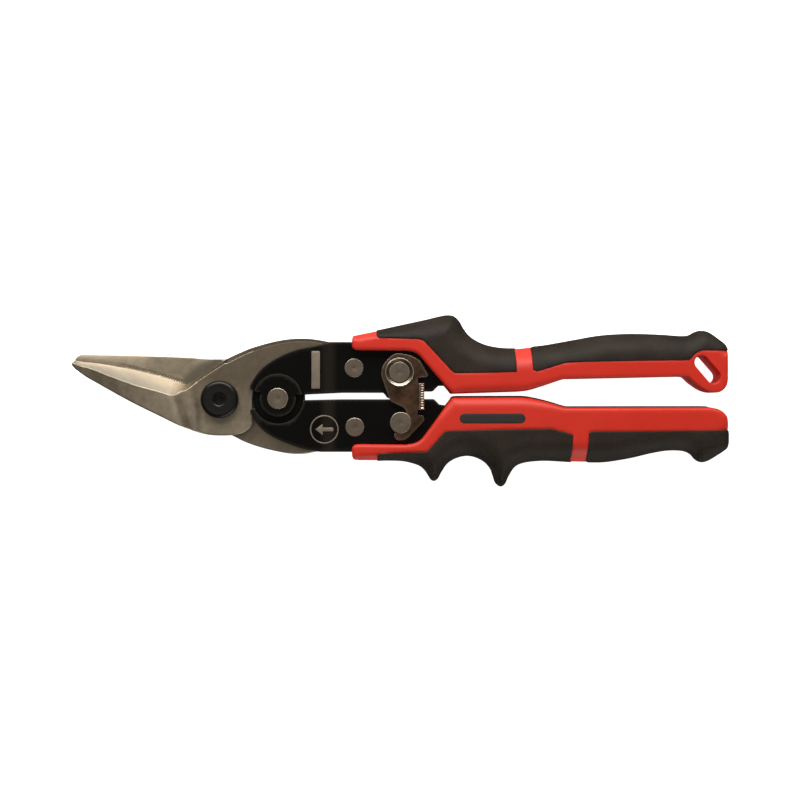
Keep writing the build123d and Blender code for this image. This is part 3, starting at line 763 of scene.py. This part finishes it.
def back_inner(plan, d):
    """Inner face of the back blade: a flat round bearing about the pivot, and in front of it a jaw that is
    ground back in a gentle curve up to its spine, with short ridges across its lower edge."""
    x, y = plan[:, 0], plan[:, 1]
    jaw = step_up(reach(plan, MAIN), 14.2, 18.0) * (x < -3)
    above = np.clip(above_edge(x, y), 0, 12)
    curve = np.interp(x, (-56, -46, -30, -12), (10.0, 14.0, 36.0, 220.0))
    ground = 0.10 + above ** 2 / (2 * curve)
    ridge = 0.5 + 0.5 * np.cos(2 * np.pi * (x + 0.45 * y) / RIDGE_PITCH)
    band = step_up(above, 0.05, 0.3) * step_up(-above, -RIDGE_WIDTH, 0.5 - RIDGE_WIDTH)
    band = band * step_up(x, -40, -34) * step_up(-x, 12.5, 14.5)
    edge = round_edge(d, EDGE_ROUND) * np.where(x < 0, 0.1, 1.0)
    return RUN + 0.01 + jaw * (ground + 0.34 * ridge * band) + edge


def build_back_blade():
    x = np.arange(-39.0, -12.0, 0.19)
    edge = np.interp(x, FRONT_EDGE[:, 0], -FRONT_EDGE[:, 1])
    rows = [np.column_stack([x, edge - away]) for away in np.arange(-0.1, RIDGE_WIDTH + 0.3, 0.24)]
    mesh = solid(REAR, [back_outline], back_outer, back_inner, rows=rows, **BLADE_MESH)
    obj = new_object("back_blade_forging", mesh, "back_blade_set", FORGED, 50, "back_blade")
    # Painted shade on the bearing about the main pivot.
    repaint(obj, BEARING_SHADE, lambda middle, normal: (reach(middle, MAIN) < BEARING_R)
            & (normal[:, 2] > 0.3) & (middle[:, 2] > SHEAR - 3))


# ---------------------------------------------------------------- pivot, rivets and other turned parts
HEAD_T = 1.2
BOLT_R, BOLT_FLAT_R = 7.1, 5.6          # of the bolt's head, and of its flat top
BOLT_TOP, BOLT_SEAT = 7.85, 4.55        # heights of its head
SHANK_R = 4.0
SOCKET_FLOOR = 5.2
NUT_FACE, NUT_SEAT = 11.0, 5.52


def head(radius, low, top, rim, dimple=0.5, dimple_depth=0.12):
    """Profile of a rivet head from its edge to its middle, with a rounded rim and a punched dimple."""
    middle = [(radius * 0.86, top - 0.01), (radius * 0.6, top - 0.01), (dimple * 1.5, top - 0.02),
              (dimple * 0.9, top - dimple_depth * 0.75), (0.0, top - dimple_depth)]
    return [(0.0, low), (radius, low), *rounding(radius - rim, top - rim, rim), *middle]


def rim_painted_highlight(obj, centre, radius):
    """A rivet's rounded rim, painted brighter as a highlight."""
    repaint(obj, RIVET_RIM_HIGHLIGHT, lambda middle, normal: (abs(normal[:, 2]) < 0.97)
            & (reach(middle, centre) > radius - 0.3))


def build_rivet(node, body, centre, head_r, shank_r, front_z, rear_z, head_t=HEAD_T, **dimple):
    """A rivet with a head on each side, whose tops are at the two heights."""
    front = lathe(head(head_r, front_z - head_t, front_z, 0.22, **dimple), centre)
    rear = lathe(head(head_r, rear_z - HEAD_T, rear_z, 0.22), turned([centre])[0], REAR)
    low, high = 0.6 - rear_z, front_z - 0.6
    shank = lathe([(0, low), (shank_r, low), (shank_r, high), (0, high)], centre)
    obj = new_object(node + "_turned", join([front, rear, shank]), body, RIVET, 40, node)
    rim_painted_highlight(obj, centre, head_r)


def hexagon(across, phase):
    """Corners of a hexagon round the pivot, turned by phase degrees."""
    a = np.radians(phase) + np.arange(6) * 2 * np.pi / 6
    r = across / 2 / math.cos(math.pi / 6)
    return np.column_stack([r * np.cos(a), r * np.sin(a)])


def build_bolt():
    rim = loop(arc((0, 0), BOLT_R, 0, 357), 0.3, 0)
    socket = evenly(hexagon(4.0, 12), 0.25)

    def top(plan, d):
        r = reach(plan, (0, 0))
        shoulder = np.clip(r - BOLT_FLAT_R, 0, 1.5) / 1.56
        z = BOLT_TOP - 0.10 * step_up(-r, -BOLT_FLAT_R, -4.9)
        z = z - 1.6 * (1 - np.sqrt(np.clip(1 - shoulder ** 2, 0.0, 1)))
        return z - 0.9 * np.clip(2.65 - r, 0, 0.3)

    head_mesh = solid(FRONT, [rim, socket], top, level(BOLT_SEAT), spacing=0.35, rings=(0.15, 0.3))
    floor = lathe([(0, 4.6), (2.5, 4.6), (2.5, SOCKET_FLOOR), (0.8, SOCKET_FLOOR), (0, 5.0)], MAIN)
    shank = lathe([(0, -11.0), (2.6, -11.0), (3.0, -10.85), (3.9, -10.2), (SHANK_R, -9.9), (SHANK_R, 4.7),
                   (0, 4.7)], MAIN)
    mesh = join([head_mesh, floor, shank])
    new_object("pivot_bolt_turned", mesh, "back_blade_set", BLACK, 40, "pivot_bolt")


def build_nut():
    outer = loop(evenly(hexagon(13.0, 8), 0.3), 0.3, 0.12)
    bore = loop(arc((0, 0), 4.03, 0, 356), 0.3, 0)

    def face(plan, d):
        r = reach(plan, (0, 0))
        return NUT_FACE - 0.55 * np.clip(r - 6.25, 0, 2) - 0.8 * np.clip(4.55 - r, 0, 0.6)

    def seat(plan, d):
        return NUT_SEAT + 0.45 * np.clip(reach(plan, (0, 0)) - 6.35, 0, 2)

    mesh = solid(REAR, [outer, bore], face, seat, spacing=0.5, rings=(0.2,))
    new_object("pivot_nut_forged", mesh, "back_blade_set", BLACK, 35, "pivot_nut")


def build_rivets():
    proud = PLATE_OUT + 0.25
    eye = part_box("centre_rivet")[1].z / MM - SHEAR + 0.2
    build_rivet("centre_rivet", "lower_handle", CENTRE, 3.95, 3.3, eye, eye)
    build_rivet("upper_tang_rivet", "upper_handle", UPPER_TANG, 3.55, 3.0, proud, proud, dimple=0.4)
    build_rivet("lower_tang_rivet", "lower_handle", LOWER_TANG, 3.55, 3.0, proud, proud, dimple=0.9)
    # The hook closes round the pin's neck, under its head.
    build_rivet("catch_pin", "lower_handle", CATCH, 4.0, 3.0, LATCH_IN + LATCH_T + 0.75, proud, head_t=0.65,
                dimple=0.6)


# ---------------------------------------------------------------- handle stampings
UPPER_FRONT = [(11.5, 4.6), (13.0, 7.7), (15.3, 10.9), (18.25, 13.5), (22.3, 16.0), (26.6, 18.0),
               (31.0, 19.3), (36.8, 20.4), (41.8, 21.7)]
UPPER_REST = ((84.0, 21.7), (102.0, 15.5), (125.0, 16.0), (168.0, 19.0), (171.0, 17.5), (171.0, 12.0),
              (120.0, 7.5), (92.0, 4.8), (87.8, 1.95), (85.4, 5.16), (82.9, 5.16), (80.7, 2.96),
              (77.6, 2.96), (66.5, 2.6), (66.2, 0.4), (63.7, 0.4), (62.0, 2.48), (46.0, 2.48), (31.8, 1.8))
LOWER_FRONT = [(11.6, 4.6), (13.6, 8.4), (16.5, 11.8), (20.8, 14.6), (26.6, 17.1), (31.0, 18.6),
               (35.9, 19.6), (38.5, 19.9)]
LOWER_REST = ((84.0, 19.9), (94.0, 18.5), (120.0, 18.0), (168.0, 15.5), (171.0, 13.5), (171.0, 7.5),
              (130.0, 6.0), (92.0, 2.6), (88.4, -1.1), (85.9, 2.31), (83.2, 1.97), (81.2, -0.08),
              (77.6, -0.08), (63.0, 0.0), (46.0, 0.0), (31.8, 0.3))
EYE_R = 6.8
JOGGLE_R = 9.5


def plate(side, own_side, front, rest, centre):
    """One plate of a handle: on the handle's own side its eye is raised over the other handle's eye, and on
    the other side it is sunk under it. The outline is given as seen from the own side."""
    raised = side == own_side
    radius, meet = (EYE_R, 2.5) if raised else (JOGGLE_R, 3.4)
    right = math.degrees(math.asin((rest[-1][1] - centre[1]) / radius))
    left = math.degrees(math.asin((meet - centre[1]) / radius))
    start = ((15.2, 2.5), (13.0, 3.2)) if raised else ((13.3, 3.4),)
    line = np.vstack([path(*start, (11.7, 3.7), front, *rest), arc(centre, radius, right, -180 - left)])
    if not raised:
        line, centre = turned(line), (centre[0], -centre[1])
    lift = EYE_LIFT if raised else -EYE_LIFT

    def shape(plan):
        return lift * (1 - step_up(reach(plan, centre), JOGGLE_R - 0.35, JOGGLE_R + 0.15))

    def top(plan, d):
        return PLATE_OUT + shape(plan) - round_edge(d, 0.4)

    def bottom(plan, d):
        return PLATE_OUT - PLATE_T + shape(plan) + round_edge(d, 0.3)

    step = [arc(centre, JOGGLE_R + k, 0, 359) for k in (-0.5, -0.35, -0.2, -0.1, 0.0, 0.15, 0.3)]
    return solid(side, [loop(line, 0.4, 0.2)], top, bottom, spacing=1.4, rings=(0.12, 0.3, 0.6), rows=step)


def strip(line, half):
    """A strip on edge across the shear plane."""
    return solid(FRONT, [loop(line, 0.6, 0.1)], level(half), level(-half), spacing=2.5, rings=())


def build_handle(body, own_side, front, rest, *strips):
    centre = (CENTRE[0], own_side * CENTRE[1])
    parts = [plate(side, own_side, front, rest, centre) for side in (FRONT, REAR)]
    parts += [strip(line, half) for line, half in strips]
    new_object(body + "_stamping", join(parts), body, PLATE, 40, body + "_frame")


def build_handles():
    tuck = PLATE_OUT - PLATE_T + 0.1
    upper_spine = path(
        (46.5, 19.2), (46.5, 21.6), (84.0, 21.6), (101.8, 15.4), (125.0, 15.9), (168.0, 18.9), (170.8, 17.5),
        (125.0, 13.5), (101.2, 13.0), (83.0, 19.2), (46.5, 19.2))
    lower_spine = path(
        (46.5, -17.6), (46.5, -19.8), (84.0, -19.8), (94.0, -18.4), (120.0, -17.9), (168.0, -15.4),
        (170.8, -13.0), (120.0, -15.4), (94.0, -16.0), (83.5, -17.6), (46.5, -17.6))
    # The folded edge of the lower stamping shows as a black line along the inner side of the red core.
    inner_edge = path(
        (87.6, 0.5), [(88.4, 1.15), (89.6, 1.3)], (113.9, 1.35),
        [(116.5, 1.1), (123.0, -0.3), (129.1, -2.1)], (131.1, -2.65), (184.0, -2.6), (186.5, -3.4),
        (184.0, -5.0), (131.0, -5.0), (114.0, -1.5), (89.0, -1.5), (87.6, 0.5))
    build_handle("upper_handle", FRONT, UPPER_FRONT, UPPER_REST, (upper_spine, tuck))
    build_handle("lower_handle", REAR, LOWER_FRONT, LOWER_REST, (lower_spine, tuck), (inner_edge, 6.5))


# ---------------------------------------------------------------- plain marks
MARK_T = 0.06


def mark(name, loops, low, body, material, slot):
    """A thin printed mark on a flat face."""
    def top(plan, d):
        return low + MARK_T - round_edge(d, 0.04)

    mesh = solid(FRONT, loops, top, level(low - 0.1), spacing=0.8, rings=(0.1,))
    new_object(name, mesh, body, material, 40, slot=slot)


def build_marks():
    """Blank marks, where the maker's had lettering: a strip, a ring with one plain arrow, and a bar."""
    strip_line = path((34.9, 4.0), (38.1, 4.0), (38.1, 18.2), (34.9, 18.2), (34.9, 4.0))
    blank = [loop(strip_line, 0.4, 0.08)]
    mark("upper_plate_blank_strip", blank, PLATE_OUT, "upper_handle", INK, "rivet_steel")
    x, y = (39.76, -11.4)
    ring = [loop(arc((x, y), radius, 0, 356), 0.4, 0) for radius in (5.4, 4.95)]
    mark("lower_plate_ring", ring, PLATE_OUT, "lower_handle", INK, "rivet_steel")
    arrow = path((x - 3.4, y), (x - 0.6, y + 2.2), (x - 0.6, y + 0.7), (x + 3.4, y + 0.7), (x + 3.4, y - 0.7),
                 (x - 0.6, y - 0.7), (x - 0.6, y - 2.2), (x - 3.4, y))
    mark("lower_plate_arrow", [loop(arrow, 0.3, 0.06)], PLATE_OUT, "lower_handle", INK, "rivet_steel")
    bar = loop(np.vstack([arc((113.6, -7.2), 1.9, -90, 90), arc((92.6, -7.2), 1.9, 90, 270)]), 0.4, 0.05)
    mark("lower_grip_blank_bar", [bar], GRIP_HALF - MARK_T, "lower_handle", LABEL, "black_grip")


# ---------------------------------------------------------------- latch
LATCH_T = 1.8
TAB_X = (75.5, 77.4)
TAB_Y = (-3.9, 6.0)
TAB_PITCH = 0.92
latch_outline = loop(path(
    (68.25, 17.35),
    [(71.0, 16.85), (73.8, 15.9), (76.1, 14.4)], (79.0, 9.1), (78.4, 8.3), (75.5, 8.2), (75.1, 7.7),
    (75.1, 6.0), (77.4, 6.0), (77.4, -3.9), (75.1, -4.1), (75.1, -5.9), (77.0, -6.1), (77.5, -7.1),
    (77.4, -8.3), (71.7, -14.3), [(70.3, -15.2), (68.6, -15.5), (66.9, -15.1), (66.1, -13.8), (66.2, -12.75)],
    [(68.6, -12.45), (71.0, -11.5), (72.15, -9.1), (71.9, -7.2), (70.8, -5.5)], [(70.4, -4.1), (69.4, -3.0)],
    (65.1, -1.0), (64.2, 0.5), (61.4, 8.3),
    [(61.3, 10.0), (61.9, 12.6), (64.2, 15.55), (66.4, 17.1), (68.25, 17.35)]), 0.3, 0.12)


def latch_top(plan, d):
    return LATCH_IN + LATCH_T - round_edge(d, 0.26)


def build_latch_plate():
    def latch_back(plan, d):
        return LATCH_IN + round_edge(d, 0.2)

    sheet = solid(FRONT, [latch_outline], latch_top, latch_back, spacing=0.7, rings=(0.1, 0.28, 0.5))
    (left, right), (low, high) = TAB_X, TAB_Y
    tab_line = loop(path((left, high), (right, high), (right, low), (left, low), (left, high)), 0.2, 0.12)

    def tab_top(plan, d):
        x, y = plan[:, 0], plan[:, 1]
        middle = step_up(y, low + 0.4, low + 0.7) * step_up(-y, 0.4 - high, 0.7 - high)
        ridges = 0.5 + 0.5 * np.cos(2 * np.pi * y / TAB_PITCH)
        inner = step_up(x, left + 0.55, left + 0.75) * step_up(-x, 0.25 - right, 0.4 - right)
        return TAB_OUT - round_edge(d, 0.25) - middle * inner * (0.18 + 0.22 * ridges)

    tab = solid(FRONT, [tab_line], tab_top, level(LATCH_IN + 0.3), spacing=0.18, rings=(0.12,))
    obj = new_object("latch_plate_pressed", join([sheet, tab]), "latch", LATCHED, 40, "latch_plate")

    def edges(middle, normal):
        """The edges of the sheet and of the tab, and the crests of the tab's ridges: painted highlights."""
        x, y, z = middle.T
        ridged = (x > left + 0.6) & (x < right - 0.2) & (y > low + 0.6) & (y < high - 0.6)
        crest = np.cos(2 * np.pi * y / TAB_PITCH) < 0.1
        return np.where(ridged & (z > SHEAR + TAB_OUT - 1), crest, abs(normal[:, 2]) < 0.94)

    repaint(obj, LATCH_EDGE_HIGHLIGHT, edges)


def build_latch_rivet():
    """The latch's rivet, in a bright dished ring."""
    low = LATCH_IN + LATCH_T
    ring = [(4.20, low + 0.02), (5.35, low + 0.02), (5.40, low + 0.8), *rounding(5.26, low + 0.86, 0.14, 5),
            (5.10, low + 1.0), (4.98, low + 0.93), (4.26, low + 0.50), (4.20, low + 0.02)]
    washer = lathe(ring, LATCH, turns=96)
    obj = new_object("latch_dished_washer", washer, "upper_handle", PLATED, 50, "latch_washer")
    # Painted shade in the washer's inner dish.
    repaint(obj, DISH_SHADE, lambda middle, normal: reach(middle, LATCH) < 4.95)

    head_r, shank_r = 3.85, 3.0
    button = lathe(head(head_r, low + 0.1, low + 0.66, 0.1, dimple_depth=0.10), LATCH, turns=96)
    rear = lathe(head(3.5, PLATE_OUT - 0.8, PLATE_OUT + 0.15, 0.2), (LATCH[0], -LATCH[1]), REAR)
    end = 0.4 - PLATE_OUT
    shank = lathe([(0, end), (shank_r, end), (shank_r, low + 0.2), (0, low + 0.2)], LATCH)
    mesh = join([button, rear, shank])
    obj = new_object("latch_rivet_turned", mesh, "upper_handle", RIVET, 40, "latch_rivet")
    rim_painted_highlight(obj, LATCH, head_r)


# ---------------------------------------------------------------- grips
def on_side(line):
    """Grip outlines were seen at mid-thickness, and at their ends on the front edge."""
    return seen(line, np.interp(line[:, 0], (50, 60, 180, 191), (19, 11, 11, 19)))


UPPER_OUTER = on_side(path(
    (51.6, 24.3), (59.3, 25.8), (79.0, 30.1),
    [(83.5, 31.2), (86.1, 31.6), (88.5, 31.3), (90.5, 29.55), (92.2, 26.6), (94.9, 23.4), (99.7, 20.75),
     (104.7, 19.5), (111.5, 19.1), (118.3, 19.7), (123.4, 20.3), (133.6, 22.1), (143.3, 23.8), (152.9, 24.5),
     (160.2, 24.5), (167.5, 24.2), (174.3, 23.7)],
    [(177.4, 23.9), (180.0, 25.2), (182.4, 25.8), (185.4, 25.5), (189.2, 23.3), (192.1, 20.9),
     (193.1, 18.6)]))
UPPER_INNER = seen(path(
    (193.1, 18.6), (193.1, 7.4),
    [(192.7, 5.5), (191.7, 3.95), (189.9, 2.75), (187.8, 2.5), (184.4, 3.45), (180.0, 6.4), (177.7, 8.5),
     (176.2, 8.7)],
    (132.6, 7.8), [(130.4, 7.6), (121.5, 4.7), (116.6, 3.3), (113.6, 2.9)], (89.0, 2.1), (88.0, 2.1),
    (76.6, 15.5), [(75.3, 16.9), (73.4, 17.9), (70.6, 18.4)], (52.9, 18.6),
    [(51.2, 18.8), (50.3, 19.6), (50.15, 21.3)], (50.2, 22.9), [(50.6, 24.0), (51.6, 24.3)]), SHEAR + 8.5)
LOWER_OUTER = on_side(path(
    (52.4, -23.1), (59.5, -23.1),
    [(65.0, -23.0), (70.6, -23.4), (76.0, -25.1), (78.0, -26.9), (79.3, -28.9)],
    [(80.3, -30.35), (81.3, -30.7), (82.4, -30.0), (83.7, -27.6)],
    [(86.1, -24.2), (89.5, -22.1), (93.6, -21.2), (97.0, -21.8), (100.3, -23.5), (102.7, -26.2),
     (103.7, -28.9)],
    [(104.7, -31.6), (106.5, -32.8), (107.8, -32.0), (109.1, -29.25)],
    [(111.5, -25.6), (114.2, -24.1), (121.5, -23.1), (133.6, -23.6), (139.4, -23.7), (145.7, -23.6),
     (155.4, -22.1), (163.6, -20.2), (169.9, -19.2), (176.1, -19.5), (178.6, -20.7)],
    [(180.5, -22.8), (182.9, -23.7), (185.4, -23.3), (188.2, -21.9)],
    [(191.4, -19.9), (192.9, -18.2), (193.3, -16.2)], (193.3, -12.0)))
LOWER_INNER = seen(path(
    (193.3, -12.0), (193.3, -9.1), [(192.8, -6.4), (190.2, -4.0), (186.3, -3.0)], (131.1, -3.15),
    [(129.1, -2.6), (123.0, -0.8), (116.5, 0.6), (113.9, 0.85)], (89.3, 0.8), (88.1, 0.6), (86.1, -2.0),
    (77.9, -13.3), [(76.2, -15.3), (74.2, -16.5), (70.6, -17.2)], (52.4, -17.0),
    [(50.9, -17.4), (50.15, -18.6), (50.15, -20.2)], (50.2, -21.4), [(50.8, -22.7), (52.4, -23.1)]),
    SHEAR + 8.5)
SLOT_ENDS = seen([(182.7, 14.0), (187.3, 8.65)], SHEAR + 7.5)
SLOT_R = 2.65
END_THIN = 3.2          # how much half the thickness falls towards the end of a grip


def slot_loop():
    along = SLOT_ENDS[1] - SLOT_ENDS[0]
    angle = math.degrees(math.atan2(along[1], along[0]))
    return loop(np.vstack([arc(SLOT_ENDS[1], SLOT_R, angle - 90, angle + 90),
                           arc(SLOT_ENDS[0], SLOT_R, angle + 90, angle + 270)]), 0.4, 0.1)


def grip_height(plan, outer, inner, out_x, out_r, out_f, in_x, in_r, in_drop):
    """Half the thickness of a grip: full in the middle, rounded away to nothing towards its outer side, with
    a narrower rounded edge along its inner side."""
    x = plan[:, 0]
    t_out = np.clip(1 - segment_distance(plan, outer, False) / np.interp(x, out_x, out_r), 0, 1)
    t_in = np.clip(1 - segment_distance(plan, inner, False) / np.interp(x, in_x, in_r), 0, 1)
    fall = np.interp(x, out_x, out_f) * (1 - np.sqrt(np.clip(1 - t_out ** 2.1, 0, 1)))
    full = GRIP_HALF - 0.05 - END_THIN * step_up(x, 140, 188)
    z = full * (1 - fall)
    return z - np.interp(x, in_x, in_drop) * (1 - np.sqrt(np.clip(1 - t_in ** 2, 0, 1)))


UPPER_SHAPE = dict(
    outer=UPPER_OUTER, inner=UPPER_INNER,
    out_x=(50, 52, 60, 80, 100, 176, 186, 190, 193), out_r=(2.6, 2.8, 3.2, 8.5, 9.0, 9.0, 6.0, 4.0, 2.0),
    out_f=(0.4, 0.5, 1.0, 1.0, 1.0, 1.0, 1.0, 0.7, 0.25),
    in_x=(50, 75, 86, 92, 112, 132, 176, 182), in_r=(1.2, 1.2, 1.3, 3.4, 3.2, 1.2, 1.0, 0.9),
    in_drop=(1.2, 1.2, 1.4, 2.4, 2.4, 1.2, 0.9, 0.8))
LOWER_SHAPE = dict(
    outer=LOWER_OUTER, inner=LOWER_INNER,
    out_x=(50, 53, 60, 76, 90, 176, 186, 190, 193), out_r=(2.2, 2.4, 2.6, 5.5, 8.5, 8.5, 6.0, 4.0, 2.0),
    out_f=(0.4, 0.5, 1.0, 1.0, 1.0, 1.0, 1.0, 0.7, 0.25),
    in_x=(50, 75, 84, 90, 116, 131, 185, 193), in_r=(1.3, 1.3, 1.8, 4.2, 4.0, 1.3, 1.3, 2.0),
    in_drop=(1.3, 1.3, 1.8, 3.2, 3.2, 1.6, 1.6, 1.6))
PROUD = 0.3     # how far a soft pad stands out of the core around it
PAD_T = 2.0
RECESS = 0.8    # how far the core is sunk under a pad
GROOVE = 0.22   # drop of a pad's surface at its edge on the core


def between(line, low, high):
    """The part of a line whose x lies between two values."""
    return line[(line[:, 0] >= low) & (line[:, 0] <= high)]


# Each pad: the ends of its outer side, and its edge on the red core.
UPPER_PADS = {
    "upper_grip_front_pad": (59.4, 112.2, path(
        (112.2, 19.1), (112.7, 10.4), (90.3, 9.95), [(88.8, 10.2), (87.6, 11.2)], (78.6, 20.9),
        [(77.4, 22.1), (75.6, 22.8), (73.0, 22.9)], (60.4, 23.3), (59.5, 24.2), (59.4, 25.8))),
    "upper_grip_rear_pad": (118.3, 195, path(
        (193.45, 18.65), (184.9, 18.65), [(183.2, 18.5), (181.5, 17.9), (179.7, 16.2), (178.6, 15.0)],
        (168.4, 14.8), (143.3, 14.3), (134.0, 14.1), [(131.1, 13.8), (128.2, 13.0)], (120.3, 10.5),
        (118.8, 11.3), (118.3, 19.7))),
}
LOWER_PADS = {
    "lower_grip_front_pad": (59.8, 133.5, path(
        (133.4, -23.6), (134.0, -13.9), [(133.4, -13.2), (132.2, -12.9)], (126.4, -11.3),
        [(125.0, -11.15), (122.5, -11.2)], (86.6, -11.9), (85.2, -12.3), (79.3, -19.1), (77.9, -20.0),
        (60.8, -20.6), (59.8, -21.4), (59.8, -23.1))),
    "lower_grip_rear_pad": (139.5, 195, path(
        (193.65, -11.75), (141.2, -12.2), [(140.1, -12.6), (139.9, -13.7)], (139.4, -23.7))),
}


def mirrored_solid(loops, top, bottom, **more):
    """A solid above the shear plane and its mirror image below it."""
    plan, z, faces = relief(loops, top, bottom, **more)
    front = np.column_stack([plan, SHEAR + z]) * MM
    rear = np.column_stack([plan, SHEAR - z]) * MM
    return join([(front, faces), (rear, [f[::-1] for f in faces])])


def build_grip(prefix, body, shape, pads, spine_y, outward, slots):
    outline = loop(np.vstack([shape["outer"], shape["inner"][1:]]), 0.5, 0.2)
    loops = [outline, *slots]
    proud = dict(shape, outer=beside(shape["outer"], [-outward * PROUD])[0])
    regions = {}
    for name, (low, high, edge) in pads.items():
        edge = seen(edge, 2 * GRIP_HALF - 0.8)
        own = between(proud["outer"], *seen([(low, 0), (high, 0)], (SHEAR, SHEAR))[:, 0])
        regions[name] = (loop(np.vstack([own, edge]), 0.4, 0.06), edge)

    def hollow(plan):
        """Where the grip starts: on the stampings' faces in front, and filling the channel at the back."""
        held = (plan[:, 0] < 92.0) & (np.abs(plan[:, 1]) < spine_y)
        return np.where(held, PLATE_OUT + RUN, 0.0)

    def core_top(plan, d):
        z = grip_height(plan, **shape)
        for region, edge in regions.values():
            under = step_up(segment_distance(plan, edge, False), 0.3, 0.9)
            z = z - np.where(inside(plan, [region]), RECESS * under, 0)
        for line in slots:
            z = z - round_edge(segment_distance(plan, line), 0.35)
        return np.maximum(z, 0.0)

    def core_bottom(plan, d):
        return np.minimum(hollow(plan), core_top(plan, d))

    mesh = mirrored_solid(loops, core_top, core_bottom, spacing=1.1, rings=(0.12, 0.35, 0.7, 1.2))
    new_object(prefix + "_core_moulded", mesh, body, RED, 50, prefix + "_core")

    for name, (region, edge) in regions.items():
        def pad_top(plan, d, edge=edge):
            to_core = segment_distance(plan, edge, False)
            to_side = segment_distance(plan, proud["outer"], False)
            z = grip_height(plan, **proud) + PROUD * step_up(to_side, 0.0, 1.0)
            return np.maximum(z - GROOVE * np.clip(1 - to_core / 0.5, 0, 1) ** 2, 0.0)

        def pad_bottom(plan, d, pad_top=pad_top):
            """The pad wraps the outer side, and is a shell over the rest."""
            wrapped = segment_distance(plan, proud["outer"], False) < 1.0
            return np.where(wrapped, 0.0, np.clip(pad_top(plan, d) - PAD_T, 0, None))

        mesh = mirrored_solid([region], pad_top, pad_bottom, spacing=1.0, rings=(0.12, 0.35, 0.7, 1.2, 1.8))
        new_object(name + "_moulded", mesh, body, RUBBER, 50, name)


def build_grips():
    build_grip("upper_grip", "upper_handle", UPPER_SHAPE, UPPER_PADS, 21.7, 1, [slot_loop()])
    build_grip("lower_grip", "lower_handle", LOWER_SHAPE, LOWER_PADS, 19.9, -1, [])


# ---------------------------------------------------------------- kept CAD parts
def finish_cad_parts():
    finishes = {"pivot_washer": BLACK, "latch_friction_washer": PLATED, "torsion_spring": SPRING,
                "spring_sleeve": SPRING, "upper_tang_spacer": RIVET, "lower_tang_spacer": RIVET,
                "latch_spacer": RIVET, "catch_spacer": RIVET}
    for node, material in finishes.items():
        obj = frame["nodes"][node]
        obj.data.materials.clear()
        obj.data.materials.append(material)
        slot_name(material)


# ---------------------------------------------------------------- floor, light and camera
def flat_square(name, half, n=8):
    """A square of n by n faces in the rest plane."""
    mesh = bpy.data.meshes.new(name)
    span = np.linspace(-half, half, n + 1)
    places = [(x, y, 0.0) for y in span for x in span]
    starts = [j * (n + 1) + i for j in range(n) for i in range(n)]
    mesh.from_pydata(places, [], [(k, k + 1, k + n + 2, k + n + 1) for k in starts])
    obj = bpy.data.objects.new(name, mesh)
    bpy.context.scene.collection.objects.link(obj)
    return obj


def lamp(name, place, target, size, power, colour):
    data = bpy.data.lights.new(name, "AREA")
    data.shape = "RECTANGLE"
    data.size, data.size_y = size
    data.energy = power
    data.color = colour
    obj = bpy.data.objects.new(name, data)
    bpy.context.scene.collection.objects.link(obj)
    obj.location = place
    obj.rotation_mode = "QUATERNION"
    obj.rotation_quaternion = (Vector(target) - Vector(place)).to_track_quat("-Z", "Y")


def build_studio():
    floor = flat_square("studio_floor", 30.0)
    mat, tree, bsdf, _ = shader_graph("studio_floor")
    fill(tree, bsdf, {"Base Color": (0.9, 0.9, 0.9, 1), "Roughness": 0.9, "Emission Color": (1, 1, 1, 1),
                      "Emission Strength": 1.0})
    floor.data.materials.append(mat)
    floor.visible_glossy = False

    world = bpy.data.worlds.new("studio")
    bpy.context.scene.world = world
    world.use_nodes = True
    tree = world.node_tree
    fill(tree, tree.nodes["Background"], {"Color": (1.0, 0.97, 0.93, 1), "Strength": 0.07})

    middle = (0.068, 0.0, 0.012)
    lamp("key_light", (0.02, 0.55, 0.42), middle, (0.9, 0.35), 7.9, (1.0, 0.97, 0.92))
    lamp("top_light", (0.0, -0.05, 0.9), middle, (0.6, 0.5), 0.4, (1.0, 0.97, 0.92))
    lamp("low_light", (0.30, -0.55, 0.12), middle, (0.6, 0.2), 1.5, (1.0, 0.96, 0.90))

    data = bpy.data.cameras.new("camera")
    data.sensor_width = 36
    data.lens = 71.2
    data.clip_start, data.clip_end = 0.01, 100
    camera = bpy.data.objects.new("camera", data)
    bpy.context.scene.collection.objects.link(camera)
    camera.location = (*VIEW_MIDDLE * MM, (VIEW_PLANE + VIEW_DISTANCE) * MM)
    camera.rotation_euler = (0, 0, 0)
    bpy.context.scene.camera = camera
    bpy.context.scene.view_settings.view_transform = "Standard"


build_front_blade()
build_back_blade()
build_bolt()
build_nut()
build_handles()
build_latch_plate()
build_latch_rivet()
build_rivets()
build_grips()
build_marks()
finish_cad_parts()
build_studio()
